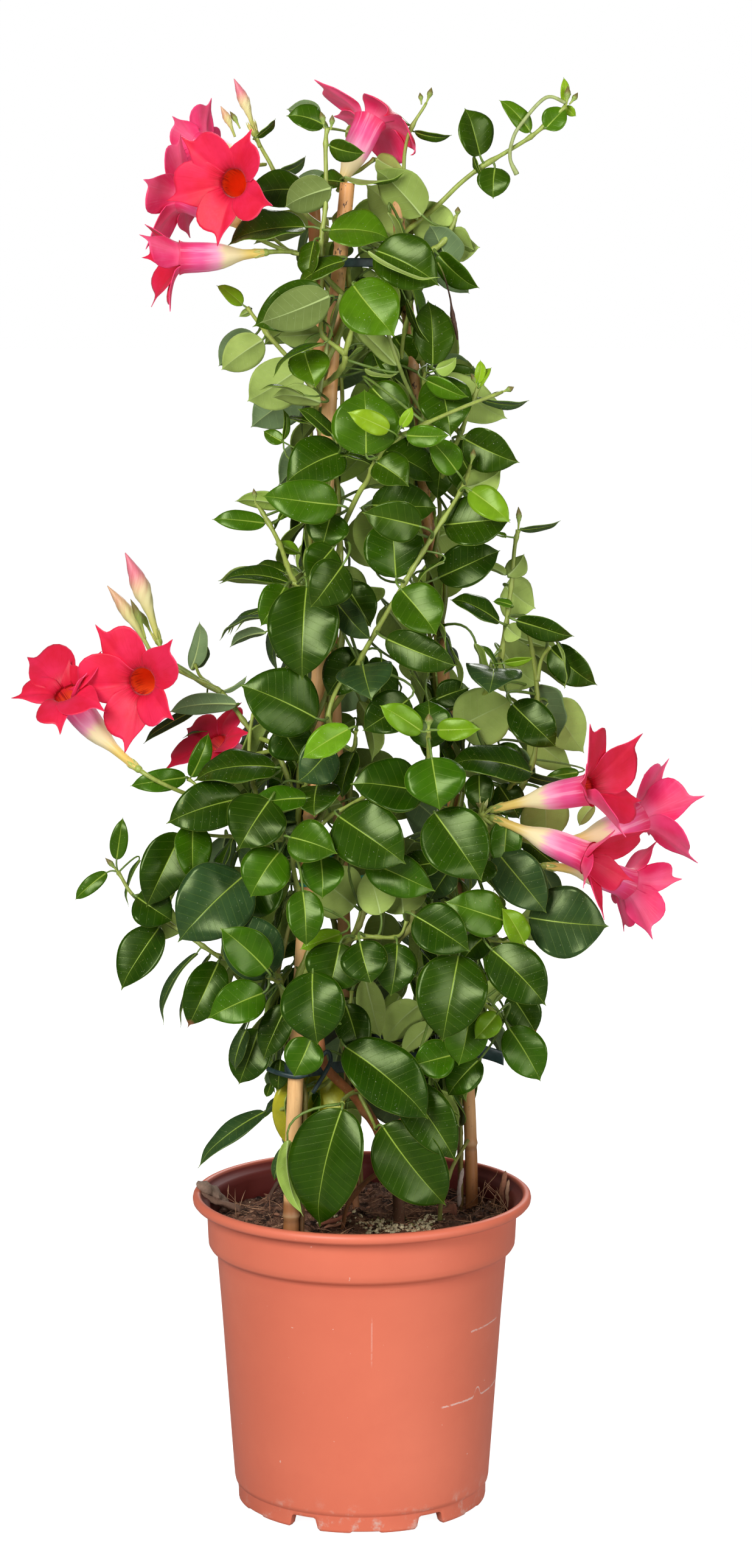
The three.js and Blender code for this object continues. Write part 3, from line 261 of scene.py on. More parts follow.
def shell_faces(rows, cols, top, under, rim):
    """Faces of a thin shell: a grid, the same grid below it turned over, and a rim that joins their edges."""
    n = rows * cols
    grid = np.arange(n).reshape(rows, cols)
    edge = np.concatenate([grid[0, ::-1], grid[1:, 0], grid[-1, 1:], grid[-2:0:-1, -1]])
    follow = np.roll(edge, -1)
    quads = weave(rows, cols)
    return [(quads, top, True), (quads[:, ::-1] + n, under, True),
            (np.stack([edge, follow, follow + n, edge + n], -1), rim, False)]


def normals(grid):
    """The unit normal at each point of a grid: the step to the next column x the step to the next row."""
    return unit(np.cross(np.gradient(grid, axis=1), np.gradient(grid, axis=0)))


def volume(pile):
    """The volume a pile encloses in mm3, above zero only where its faces point out."""
    points, total = np.concatenate(pile.points), 0.0
    for faces, _, _ in pile.faces:
        for k in range(1, faces.shape[1] - 1):
            a, b, c = (points[faces[:, m]] for m in (0, k, k + 1))
            total += float(np.sum(a * np.cross(b, c)) / 6)
    return total


trial = Pile()
tube(trial, [(0, 0, 0), (0, 0, 5), (0, 0, 10)], 1.0, 32)
print("a bar of radius 1 and length 10 holds", round(volume(trial), 1), "mm3")

# %% [markdown]
# ## Finishes written as sums
#
# A finish is a node tree, and most of its nodes are small sums. `Value` wraps a socket so that a sum is
# written the way it is on paper, such as `0.4 + 0.2 * speckle`, and each operator adds its Math node.

# %% A small language for finishes
class Value:
    """One socket of a finish; sums on values add Math nodes to its tree."""

    def __init__(self, finish, socket):
        self.finish, self.socket = finish, socket

    def math(self, operation, *others):
        """A Math node of this value and the others."""
        node = self.finish.tree.nodes.new("ShaderNodeMath")
        node.operation = operation
        for socket, value in zip(node.inputs, (self, *others)):
            self.finish.put(socket, value)
        return Value(self.finish, node.outputs[0])

    def __add__(self, other):
        return self.math("ADD", other)

    def __sub__(self, other):
        return self.math("SUBTRACT", other)

    def __rsub__(self, other):
        return (self * -1) + other

    def __mul__(self, other):
        return self.math("MULTIPLY", other)

    def __truediv__(self, other):
        return self.math("DIVIDE", other)

    def __abs__(self):
        return self.math("ABSOLUTE")

    __radd__, __rmul__ = __add__, __mul__

    def ramp(self, low, high):
        """0 up to low, 1 from high, and smooth between; with high below low it falls instead."""
        if high < low:
            return 1 - self.ramp(high, low)
        settings = {"interpolation_type": "SMOOTHSTEP"}
        return self.finish.node("ShaderNodeMapRange", settings, Value=self, From_Min=low, From_Max=high)

    def saw(self):
        """How far the value is from the nearest whole number, 0 to 0.5."""
        return abs(self.math("FRACT") - 0.5) * -1 + 0.5


class Finish:
    """A material and the ways of adding nodes to it."""

    def __init__(self, name, **fixed):
        self.material = bpy.data.materials.new(name)
        self.material.use_nodes = True
        self.tree = self.material.node_tree
        self.shader = self.tree.nodes["Principled BSDF"]
        self.set(**fixed)

    def put(self, socket, value):
        """Links a value to a socket, or sets the socket to a number or colour."""
        if isinstance(value, Value):
            self.tree.links.new(value.socket, socket)
        elif socket.type == "RGBA":
            socket.default_value = (*value[:3], 1)
        else:
            socket.default_value = value

    def set(self, **inputs):
        """Sets or links sockets of the shader."""
        for key, value in inputs.items():
            self.put(self.shader.inputs[key.replace("_", " ")], value)

    def node(self, kind, settings=None, out=0, **inputs):
        """Adds a node with its settings and its sockets' values, and gives one of its outputs."""
        node = self.tree.nodes.new(kind)
        for key, value in (settings or {}).items():
            setattr(node, key, value)
        for key, value in inputs.items():
            self.put(node.inputs[key.replace("_", " ")], value)
        return Value(self, node.outputs[out])

    def mix(self, share, a, b, blend="MIX"):
        """Mixes two colours by a share."""
        node = self.tree.nodes.new("ShaderNodeMix")
        node.data_type, node.blend_type = "RGBA", blend
        for index, value in ((0, share), (6, a), (7, b)):
            self.put(node.inputs[index], value)
        return Value(self, node.outputs[2])

    def split(self, name):
        """The three numbers of one of a piece's own attributes."""
        vector = self.node("ShaderNodeAttribute", {"attribute_name": name}, out=1)
        node = self.tree.nodes.new("ShaderNodeSeparateXYZ")
        self.put(node.inputs[0], vector)
        return [Value(self, socket) for socket in node.outputs]

    def tint(self):
        """A piece's own colour attribute."""
        return self.node("ShaderNodeAttribute", {"attribute_name": "tint"}, out=0)

    def place(self, scale=(1, 1, 1)):
        """Object coordinates, stretched."""
        here = self.node("ShaderNodeTexCoord", out=3)
        return self.node("ShaderNodeMapping", Vector=here, Scale=scale)

    def join(self, x, y, z):
        """A vector of three values."""
        return self.node("ShaderNodeCombineXYZ", X=x, Y=y, Z=z)

    def noise(self, scale, detail=3.0, rough=0.5, at=None):
        """Fractal noise from 0 to 1, in cells of 1 / scale metres on Object coordinates."""
        at = at or self.place()
        return self.node("ShaderNodeTexNoise", Vector=at, Scale=scale, Detail=detail, Roughness=rough)

    def bump(self, height, strength=0.3, distance=0.0005):
        """Turns a height into a normal and gives it to the shader."""
        self.set(Normal=self.node("ShaderNodeBump", Strength=strength, Distance=distance, Height=height))


def rgb(red, green, blue):
    """A screen colour of 0 to 255 as the linear colour that a shader takes."""
    c = np.array([red, green, blue]) / 255
    return tuple(np.where(c <= 0.04045, c / 12.92, ((c + 0.055) / 1.055) ** 2.4).tolist())


def blend(a, b, share):
    """Two tints mixed by a share, or by a column of shares."""
    share = np.asarray(share, float)
    return np.asarray(a) * (1 - share) + np.asarray(b) * share


print("terracotta as a shader's colour:", [round(c, 3) for c in rgb(222, 118, 90)])

# %% [markdown]
# ## The pot
#
# A thin moulded pot: a foot ring with six feet, a straight taper, a step up to a collar and a rolled rim.
# It could be turned from a profile and cut afterwards. Here one grid does it: the profile is carried round,
# and the points of the foot ring are lifted between the feet, which leaves no cuts to tidy.

# %% The pot's surface
POT_H, FOOT_TURN = 193.7, math.radians(-87)
POT_PROFILE = [
    (0, 9), (24, 9), (46, 9), (60, 9), (70, 8.9), (71.4, 8), (72.2, 3), (72.6, 0.5), (73.4, 0), (76.6, 0),
    (77.4, 0.5), (77.7, 2), (77.7, 10), (78, 10.9), (79.0, 11.6), (79.5, 14), (81.4, 40), (84.2, 80),
    (87.0, 120), (89.9, 156), (90.3, 158.2), (91.6, 159.6), (94.2, 160.8), (95.1, 162.4), (95.4, 166),
    (95.9, 178), (96.2, 184.6), (96.7, 186.3), (98.4, 187), (101.4, 187.1), (103.6, 187.5), (104.7, 188.8),
    (105, 190.6), (104.6, 192.4), (103.3, 193.5), (101.4, 193.7), (100.3, 193.1), (99.6, 191.6), (98.4, 190),
    (96.2, 188.6), (94.6, 187), (94, 184), (93.4, 170), (93.1, 164), (92.2, 162.2), (89.6, 160.6),
    (88.4, 158.6), (84.6, 110), (79.6, 40), (77.6, 14), (76, 12), (60, 11.2), (24, 11.2), (0, 11.2),
]
LIP_ROW = 34  # the profile's point where the outside turns over into the inside
AXES = np.eye(3)


def foot_lift(turn):
    """How far the foot ring is lifted: 8 mm between feet, and 1.2 mm in a recess in each foot's middle."""
    phase = (np.degrees(turn - FOOT_TURN) + 30) % 60 - 30
    return 8 * smooth(np.abs(phase), 22.4, 24.4) + 1.2 * smooth(np.abs(phase + 1), 7.2, 6.2)


def make_pot():
    """A profile carried round; points of the foot ring are lifted by foot_lift, less so higher up."""
    profile = np.array(POT_PROFILE)
    turn = bearings(360)
    radius = np.repeat(profile[1:-1, :1], len(turn), 1)
    height = np.repeat(profile[1:-1, 1:], len(turn), 1)
    lift = foot_lift(turn)
    ring = (radius > 71) & (height < 8.5)
    height = np.where(ring, np.maximum(height, lift + 0.1 * height), height)
    bow = 0.35 * np.sin(3 * turn + 1) * (height / POT_H) ** 3
    radius = radius + np.where(radius > 50, bow, 0)
    points = np.stack([radius * np.cos(turn), radius * np.sin(turn), height], -1)
    mark = columns(turn / (2 * np.pi), height, radius)
    rows, cols = radius.shape
    # inside marks the rows from the lip inwards, which the finish paints deep maroon as painted shade
    inside = np.clip((np.arange(rows) - LIP_ROW) / 2, 0, 1)[:, None] * [1.0, 0, 0]
    centres = [[0, 0, profile[0, 1]], [0, 0, profile[-1, 1]]]
    floor, basin = fans(rows, cols)
    pile = Pile()
    pile.add(np.vstack([points.reshape(-1, 3), centres]),
             [(weave(rows, cols, wrap=True), 0, True), (floor, 0, False), (basin, 0, False)],
             np.vstack([mark, [[0, 9, 0], [0, 11.2, 0]]]),
             np.vstack([np.repeat(inside, cols, 0), [[0, 0, 0], [1, 0, 0]]]))
    return pile


pot_pile = make_pot()
print("the pot's wall holds", round(volume(pot_pile) / 1000, 1), "cm3 of plastic")

# %% [markdown]
# The plastic is a matte terracotta with a faint satin sheen. Up close it shows fine mottling, two long pale
# scratches at the right, a faint upright streak, pale specks and whitish salt near the feet. The inside is
# painted a deep maroon: painted shade for the dim inside, where light has bounced from wall to wall.

# %% Terracotta plastic
def terracotta():
    """Salmon brick red, cloudy at two scales, with three scratches, pale specks and salt low down.

    A scratch is a band where the height is within half a millimetre of its own line, between two turns.
    """
    f = Finish("terracotta_plastic", IOR=1.47)
    turn, height, _ = f.split("mark")
    inside = f.split("extra")[0]
    at = f.place()
    mottle = f.noise(38, 4, 0.6, at)
    cloud = f.noise(9, 2, 0.5, at)
    fine = f.noise(240, 4, 0.6, at)
    speck = f.noise(330, 1, 0.5, at).ramp(0.79, 0.82)
    run = f.noise(26, 3, 0.6, f.place((1, 1, 0.1))).ramp(0.6, 0.8)
    kink = turn.ramp(0.9, 0.9085) * turn.ramp(0.921, 0.9105)
    long_line = abs(height - 75.2 - 5.6 * kink - 2.2 * fine).ramp(0.75, 0.35)
    long_line = long_line * turn.ramp(0.846, 0.852) * turn.ramp(0.985, 0.975)
    short_line = abs(height - 118.8 - 2.4 * fine).ramp(0.65, 0.3)
    short_line = short_line * turn.ramp(0.886, 0.89) * turn.ramp(0.955, 0.95)
    upright = abs(turn - 0.7612 - 0.0012 * cloud).ramp(0.0011, 0.0005)
    upright = upright * height.ramp(106, 112) * height.ramp(140, 134) * 0.35
    scratch = long_line.math("MAXIMUM", short_line * 0.9).math("MAXIMUM", upright) * fine.ramp(0.36, 0.5)
    salt = f.noise(90, 5, 0.7, at).ramp(0.52, 0.72) * height.ramp(26, 2)
    base = f.mix(cloud.ramp(0.3, 0.7), rgb(228, 118, 89), rgb(236, 126, 96))
    base = f.mix(mottle.ramp(0.35, 0.75) * 0.25, base, rgb(220, 108, 82))
    base = f.mix(run * 0.2, base, rgb(226, 130, 104))
    # painted shade under the rim: a darker band from about 148 to 162 mm, below and on the step out to the
    # collar
    base = f.mix(height.ramp(162, 159) * height.ramp(148, 156) * 0.2, base, rgb(206, 96, 74))
    base = f.mix(speck * 0.7, base, rgb(240, 196, 180))
    base = f.mix(scratch * 0.8, base, rgb(246, 206, 194))
    base = f.mix(salt * 0.7, base, rgb(226, 208, 196))
    # painted shade: the pot's inside is darkened to a deep maroon
    base = f.mix(inside * 0.97, base, rgb(98, 33, 30))
    f.set(Base_Color=base, Roughness=0.38 + 0.16 * mottle + 0.2 * salt)
    f.bump(0.5 * fine + mottle, 0.1, 0.0004)
    return f.material


piece("pot", pot_pile, [terracotta()], ["pot"])
print("pot:", made["pot"], "triangles")

# %% [markdown]
# ## Potting soil
#
# Peat fills the pot to just under the rim. A flat disc would read as a lid, so the disc is heaved by
# waves of many sizes, and hundreds of fibres, crumbs and bark chips lie on it.

# %% The soil's surface
SOIL_Z, SOIL_R = 173.5, 92.8


def lumps(x, y, size, seed, octaves=4):
    """Soft noise: waves in chance directions, five to an octave, each octave half the size of the last."""
    waves = np.random.default_rng(seed)
    total = 0.0
    for octave in range(octaves):
        for _ in range(5):
            turn, start = waves.uniform(0, 2 * np.pi, 2)
            k = 2 * np.pi / size * 2**octave * waves.uniform(0.7, 1.3)
            total = total + np.sin(k * (x * np.cos(turn) + y * np.sin(turn)) + start) / 1.7**octave
    return total / 5


def soil_height(x, y):
    """The soil's level at a place: a shallow heap heaved by lumps of 50 and of 13 mm."""
    far = np.hypot(x, y) / SOIL_R
    return SOIL_Z + 2.5 * (1 - far**2) + 3.4 * lumps(x, y, 50, 3) + 2.4 * lumps(x, y, 13, 5, 3)


def make_soil():
    """A profile carried round, from under the middle up the wall and in over the heaved top."""
    wall = np.array([(40, 12), (76, 12), (77.5, 16), (87.6, 156), (90.5, 161.6), (92.4, 164), (SOIL_R, 170)])
    top = np.linspace(SOIL_R, 1.2, 84)
    turn = bearings(260)
    radius = np.concatenate([wall[:, 0], top])[:, None] * np.ones_like(turn)
    x, y = radius * np.cos(turn), radius * np.sin(turn)
    level = soil_height(x, y) + np.random.default_rng(2).normal(0, 0.28, x.shape)
    height = np.where(np.arange(len(radius))[:, None] < len(wall), 0, level)
    height[: len(wall)] = wall[:, 1:]
    points = np.stack([x, y, height], -1).reshape(-1, 3)
    floor, crown = fans(*radius.shape)
    pile = Pile()
    pile.add(np.vstack([points, [[0, 0, 12], [0, 0, float(level[-1].mean())]]]),
             [(weave(*radius.shape, wrap=True), 0, True), (floor, 0, False), (crown, 0, True)])
    return pile


# %% Peat, fibres, bark and crumbs
def peat():
    """Near black to red brown at two scales, with fine pale dust, very rough."""
    f = Finish("potting_soil", Roughness=0.95, Specular_IOR_Level=0.2)
    at = f.place()
    fine = f.noise(420, 5, 0.7, at)
    clod = f.noise(90, 3, 0.6, at)
    base = f.mix(clod.ramp(0.35, 0.65), rgb(40, 26, 20), rgb(118, 82, 64))
    base = f.mix(fine.ramp(0.48, 0.75), base, rgb(176, 134, 108))
    base = f.mix(f.noise(900, 2, 0.6, at).ramp(0.68, 0.76) * 0.7, base, rgb(226, 204, 180))
    f.set(Base_Color=base)
    f.bump(fine + clod, 0.9, 0.0012)
    return f.material


def litter_finish():
    """Each bit has its own tint, streaked along its length."""
    f = Finish("soil_litter", Roughness=0.85)
    grain = f.noise(700, 3, 0.6, f.place())
    f.set(Base_Color=f.mix(grain.ramp(0.35, 0.85) * 0.4, f.tint(), rgb(84, 58, 46)))
    f.bump(grain, 0.5, 0.0004)
    return f.material


BARK, FIBRE, CRUMB = rgb(140, 96, 72), rgb(206, 156, 120), rgb(244, 226, 184)


def bit(pile, x, y, turn, length, thick, tint, rise=0.0, flat=1.0, sides=5):
    """A rough spindle lying on the soil: seven rings of chance radius along a short bent path."""
    s = np.linspace(-0.5, 0.5, 7)
    bend = draw(-0.25, 0.25) * (s**2 - 0.1)
    px = x + length * (s * math.cos(turn) - bend * math.sin(turn))
    py = y + length * (s * math.sin(turn) + bend * math.cos(turn))
    far = np.maximum(1, np.hypot(px, py) / (SOIL_R - 1.5))
    px, py = px / far, py / far
    level = float(soil_height(x, y)) + thick * flat * 0.4 + rise * length * (s + 0.5)
    path = np.stack([px, py, level + 0.06 * length * np.sin(3 * s + turn)], -1)
    radius = thick * np.sqrt(np.clip(1.02 - (2 * s) ** 4, 0.02, 1)) * draw(0.6, 1.15, 7)
    ribs = lambda t, share: 1 + 0.22 * np.sin(2 * t + 9 * share + turn)
    ahead = unit(np.gradient(path, axis=0))
    level_way = unit(np.cross(AXES[2], ahead))
    tint = np.asarray(tint) * draw(0.6, 1.25)
    rings(pile, path, level_way, np.cross(ahead, level_way), radius, sides, ribs=ribs, flat=flat, tint=tint)


def scatter(pile, count, length, thick, tint, rise, flat, centre=(0, 0), spread=90):
    """Bits at chance places in a round patch, of chance length and thickness."""
    for _ in range(count):
        turn, way = draw(0, 2 * np.pi, 2)
        far = spread * math.sqrt(draw(0, 1))
        x, y = centre[0] + far * math.cos(way), centre[1] + far * math.sin(way)
        near = min(1.0, (SOIL_R - 4) / max(math.hypot(x, y), 1))
        bit(pile, x * near, y * near, turn, draw(*length), draw(*thick), tint,
            draw(-rise, rise), flat)


piece("soil", make_soil(), [peat()], ["soil"])
litter = Pile()
scatter(litter, 560, (5, 18), (0.16, 0.34), FIBRE, 0.35, 0.8)
scatter(litter, 260, (5, 15), (0.14, 0.3), rgb(150, 104, 78), 0.7, 0.8, centre=(0, -12), spread=88)
scatter(litter, 170, (2.5, 7), (0.8, 2.0), BARK, 0.2, 0.6)
scatter(litter, 90, (2, 5), (0.9, 2.2), rgb(84, 58, 46), 0.1, 0.8)
scatter(litter, 26, (1.2, 2.6), (0.5, 1.0), CRUMB, 0.05, 0.9)
piece("soil_litter", litter, [litter_finish()], [])
gravel = Pile()
HEAPS = [((30, -18), 15, 170), ((12, -24), 13, 110), ((42, -4), 10, 70), ((-8, -4), 9, 24)]
for centre, spread, count in HEAPS:
    scatter(gravel, count, (1.0, 3.2), (0.5, 1.45), CRUMB, 0.1, 0.9, centre, spread)
scatter(gravel, 60, (1.0, 3.0), (0.5, 1.2), rgb(150, 146, 84), 0.1, 0.8, (24, -14), 20)
scatter(gravel, 70, (8, 22), (0.16, 0.34), rgb(206, 158, 120), 1.1, 0.8, (84, 22), 13)
scatter(gravel, 30, (7, 17), (0.16, 0.32), rgb(196, 150, 116), 1.0, 0.8, (-84, 24), 14)
scatter(gravel, 30, (8, 20), (0.16, 0.34), rgb(170, 110, 84), 0.9, 0.8, (56, 30), 12)
piece("mineral_crumbs", gravel, [litter_finish()], [])
CHIPS = [  # two ends in space, half width, flatness, colour
    ((-102, 4, 197.5), (-83, 20, 179), 5.6, 0.6, (152, 126, 108)),
    ((-101, 2, 193), (-76, 16, 176), 3.4, 0.6, (140, 108, 90)),
    ((88, 30, 174), (90, 27, 199), 1.9, 0.5, (176, 120, 92)),
    ((91, 20, 176), (92.3, 19, 196), 1.2, 0.5, (190, 150, 120)),
    ((60, 24, 176), (63.5, 20, 203), 1.5, 0.6, (186, 168, 156)),
    ((-27, -14, 175), (-6, -4, 181), 1.5, 0.5, (156, 92, 68)),
    ((-24, -19, 174), (-10, -12, 178), 1.0, 0.6, (180, 122, 92)),
    ((48, 2, 176), (60, 6, 180), 5.0, 0.7, (140, 88, 66)),
    ((-60, 40, 176), (-52, 44, 190), 2.2, 0.6, (106, 78, 62)),
    ((66, 44, 176), (74, 46, 183), 2.4, 0.6, (110, 78, 60)),
]
chips = Pile()
for low, high, half, flat, tint in CHIPS:
    s = np.linspace(0, 1, 14)[:, None]
    path = np.array(low) * (1 - s) + np.array(high) * s + 0.8 * np.sin(5 * s + half)
    thick = half * np.sqrt(np.clip(1.03 - (2 * s[:, 0] - 1) ** 6, 0.03, 1)) * draw(0.75, 1.1, 14)
    ribs = lambda t, share: 1 + 0.16 * np.sin(3 * t + 11 * share) + 0.1 * np.sin(7 * t - 25 * share)
    tube(chips, path, thick, 11, ribs=ribs, flat=flat, tint=rgb(*tint))
piece("bark_chips", chips, [litter_finish()], [])
print("soil and litter:", made["soil"], made["soil_litter"], made["bark_chips"], "triangles")

# %% [markdown]
# ## Bamboo canes
#
# Each cane is straight but for a little bow, with a raised ring at every joint, a
# scar just under it and fine grain along it. The radius along the path carries the joints, and the finish
# follows the path through the mark that each ring keeps.

# %% Canes
CANES = {
    "front": [(-43, -67, 140), (-40, -63, 265), (-24.4, -39, 530), (-17.7, -24, 701), (-7.9, -14, 812)],
    "right": [(70, 43, 140), (67.6, 41, 240), (54.6, 27, 466), (36.1, 12, 649), (28, 5, 735), (20, -2, 812)],
    "back": [(-3, 77, 140), (-15.5, 49, 461), (-25.4, 24, 720), (-28.5, 16, 800)],
}
CANE_R = {"front": 4.8, "right": 4.0, "back": 4.2}
CANE_JOINTS = {
    "front": (196, 318, 436, 556, 668, 776),
    "right": (214, 338, 452, 498, 604, 702, 790),
    "back": (182, 300, 420, 548, 664, 770),
}
CANE_LINES = {name: spline(points, 24) for name, points in CANES.items()}


def cane_at(name, z):
    """The points of a cane's centre line at given heights."""
    line = CANE_LINES[name]
    z = np.asarray(z, float)
    return np.stack([np.interp(z, line[:, 2], line[:, 0]), np.interp(z, line[:, 2], line[:, 1]), z], -1)


def make_cane(name):
    """A bar whose radius swells to a ring at each joint, dips under it and tapers 8 % upwards."""
    line = CANE_LINES[name]
    z = np.arange(line[0, 2], line[-1, 2], 1.6)
    joints = np.array(CANE_JOINTS[name])[None, :]
    away = z[:, None] - joints
    ring = hump(away, 1.3).sum(1)
    dip = hump(away + 3.2, 1.6).sum(1)
    radius = CANE_R[name] * (1 - 0.08 * (z - 140) / 670) + 0.55 * ring - 0.22 * dip
    specks = {
        "front": 0.12 + 0.88 * smooth(z, 735, 780),
        "right": 0.35 + 0.65 * smooth(z, 560, 640),
        "back": 0.2 + 0 * z,
    }[name]
    extra = np.stack([ring, dip, specks], -1)
    # Darker brown towards the foot: the front cane below about 205 mm; the right and back canes by about half
    # all along, and nearly fully below 200 mm
    darkening = smooth(z, 207, 203) if name == "front" else 0.5 + 0.4 * smooth(z, 235, 198)
    foot = 0.95 * darkening[:, None]
    pile = Pile()
    ribs = lambda turn, share: 1 + 0.018 * np.sin(3 * turn + 5 * share) + 0.012 * np.sin(7 * turn)
    tube(pile, cane_at(name, z), radius, 24, ribs=ribs, extra=extra, tint=foot * [1.0, 0, 0])
    return pile


def bamboo():
    """Straw to tan with grain along the cane, dull rings and brown scars at the joints, dark freckles."""
    f = Finish("bamboo", Coat_Weight=0.12, Coat_Roughness=0.3)
    turn, way, _ = f.split("mark")
    ring, dip, specks = f.split("extra")
    at = f.place((1, 1, 0.06))
    grain = f.noise(900, 4, 0.6, at)
    patch = f.noise(30, 3, 0.6, f.place((1, 1, 0.35)))
    freckle = f.noise(420, 3, 0.65, f.place((1, 1, 0.45)))
    stain = f.noise(70, 4, 0.7, f.place((1, 1, 0.3)))
    base = f.mix(patch.ramp(0.35, 0.65), rgb(234, 168, 102), rgb(244, 196, 132))
    base = f.mix(grain.ramp(0.4, 0.75) * 0.3, base, rgb(204, 138, 80))
    # the tint's first number mixes in a darker brown: at the front cane's foot, and along the right and back
    # canes, most at their feet
    base = f.mix(f.split("tint")[0], base, rgb(156, 98, 52))
    base = f.mix(stain.ramp(0.52, 0.7) * specks * 0.6, base, rgb(146, 98, 66))
    base = f.mix((freckle + 0.05 * specks).ramp(0.64, 0.69) * specks, base, rgb(72, 46, 34))
    base = f.mix(dip * 0.55, base, rgb(120, 82, 52))
    base = f.mix(ring * 0.6, base, rgb(188, 156, 116))
    f.set(Base_Color=base, Roughness=0.42 + 0.2 * grain)
    f.bump(grain + 0.4 * freckle, 0.25, 0.0003)
    return f.material


cane_finish = bamboo()
for name in CANES:
    piece(f"cane_{name}", make_cane(name), [cane_finish], [f"cane_{name}"])
print("canes:", [made[f"cane_{name}"] for name in CANES], "triangles")

# %% [markdown]
# ## Vines and trunk
#
# A mandevilla climbs by winding its stems round its support. Each cane carries a thick stem and a thinner,
# younger one. Both are helices about the cane, brown and corky near the soil and green above.

# %% Twining stems
VINE_R, VINE_PITCH, HOOP_Z = 1.9, 122, 275
VINE_FOOT_Z, VINE_TOP_Z = 160, 792
WOOD, STEM, YOUNG = rgb(118, 80, 48), rgb(124, 138, 50), rgb(168, 186, 84)


def vine_at(name, z, lead=0.0, pitch=VINE_PITCH, reach=2.8):
    """A helix about a cane, one turn in each pitch of height, plus a lead; straight below the hoop."""
    centre = np.mean([cane_at(cane, HOOP_Z) for cane in CANES], 0)
    inward = centre - cane_at(name, HOOP_Z)
    climb = np.maximum(np.asarray(z, float), HOOP_Z - 8) - HOOP_Z
    angle = math.atan2(inward[1], inward[0]) + lead + 2 * np.pi * climb / pitch
    out = np.stack([np.cos(angle), np.sin(angle), 0 * angle], -1)
    return cane_at(name, z) + (CANE_R[name] + reach) * out


def stem_tint(z):
    """Corky brown at the foot, dull green from 300 mm up, fresh green at the top."""
    z = np.asarray(z, float)[..., None]
    return blend(blend(WOOD, STEM, smooth(z, 190, 340)), YOUNG, 0.75 * smooth(z, 520, 780))


def make_vine(name):
    """The thick stem with a swelling at every leaf pair, and the thin one that winds beside it."""
    z = np.arange(VINE_FOOT_Z, VINE_TOP_Z, 2.5)
    swell = hump((z - 190) % 62 - 31, 3.0)
    pile = Pile()
    tube(pile, vine_at(name, z), VINE_R * (1.08 - 0.2 * z / 800) + 0.7 * swell, 10, tint=stem_tint(z))
    z = np.arange(VINE_FOOT_Z + 6, VINE_TOP_Z - 30, 3.0)
    swell = hump((z - 170) % 74 - 37, 2.6)
    thin = vine_at(name, z, 0.6, 148, 3.6 + 0.8 * np.sin(z[:, None] / 23))
    tube(pile, thin, 1.25 + 0.5 * swell, 8, tint=stem_tint(z + 60))
    return pile


def stem_finish(name, rough):
    """The tint, mottled, with fine lines along the stem and pale dots."""
    f = Finish(name)
    grain = f.noise(320, 4, 0.65, f.place((1, 1, 0.25)))
    dots = f.noise(1500, 1, 0.5, f.place()).ramp(0.66, 0.74)
    base = f.mix(grain.ramp(0.35, 0.75) * 0.35, f.tint(), rgb(78, 66, 34))
    base = f.mix(dots * 0.35, base, rgb(196, 200, 150))
    f.set(Base_Color=base, Roughness=rough + 0.15 * grain)
    f.bump(grain + 0.3 * dots, 0.3, 0.0003)
    return f.material


green_stem = stem_finish("green_stem", 0.36)
woody_stem = stem_finish("woody_stem", 0.6)
for name in CANES:
    piece(f"vine_{name}", make_vine(name), [green_stem], [f"vine_{name}"])

# %% The trunk and its lower branches
TRUNK = [(24, 145, -10), (22, 200, -24), (11, 231, -36), (-3, 252, -50), (-22, 272, -64), (-26, 292, -66)]
BRANCHES = [
    ([(13, 226, -36), (16, 231, -30), (24, 238, -24), (33, 243, -16)], 1.7),
    ([(-8, 254, -52), (-3, 258, -58), (3, 262, -64)], 1.1),
    ([(48, 165, -6), (50, 190, -10), (56, 208, -8), (66, 226, 8)], 1.5),
    ([(20, 208, -34), (6, 202, -30), (-8, 186, -26), (-12, 168, -20)], 1.7),
    ([(-2, 168, 22), (-6, 206, 30), (-14, 240, 40), (-18, 268, 50)], 2.2),
    ([(-52, 330, -60), (-50, 338, -58), (-48, 345, -56), (-44, 362, -52)], 1.5),
    ([(-12, 345, -66), (-5, 355, -68), (0, 364, -66), (2, 372, -64)], 2.0),
    ([(18, 344, -80), (24, 353, -84), (30, 360, -84), (32, 370, -80)], 1.9),
    ([(-38, 404, -66), (-30, 418, -62), (-26, 425, -60), (-22, 434, -58)], 1.8),
]


def make_trunk():
    """Bars along given curves, thicker at the foot, with knots where branches leave."""
    pile = Pile()
    line = spline(sight(TRUNK), 14)
    knots = hump(line[:, 2] - 236, 4) + hump(line[:, 2] - 256, 3.5)
    ribs = lambda turn, share: 1 + 0.07 * np.sin(3 * turn + 14 * share) + 0.04 * np.sin(8 * turn - 31 * share)
    radius = 3.6 - 0.9 * smooth(line[:, 2], 180, 290) + 0.9 * knots
    bark = blend(rgb(92, 58, 40), rgb(186, 112, 62), smooth(line[:, 2:], 214, 244))
    tube(pile, line, radius, 14, ribs=ribs, tint=blend(bark, rgb(176, 132, 84), knots[:, None] * 0.6))
    for places, thick in BRANCHES:
        line = spline(sight(places), 9)
        share = np.linspace(0, 1, len(line))
        swell = 0.5 * hump(share - 0.55, 0.08)
        green = np.full((len(line), 1), 0.8) if places[0][0] == 48 else smooth(line[:, 2:], 230, 420)
        tint = blend(rgb(148, 94, 56), rgb(128, 142, 62), green)
        tube(pile, line, thick * (1 - 0.25 * share) + swell, 10, ribs=ribs, tint=tint)
    return pile


piece("trunk", make_trunk(), [woody_stem], ["trunk"])
print("vines and trunk:", made["vine_front"], made["trunk"], "triangles")

# %% [markdown]
# ## Ties
#
# Plastic straps draw the canes together: a deep hoop low down, closed by a hook, and a ring near the top.
# Half way up, a thin band holds the shoots. Each is a small rounded section carried round the outline that
# a string drawn tight about three rods would take.

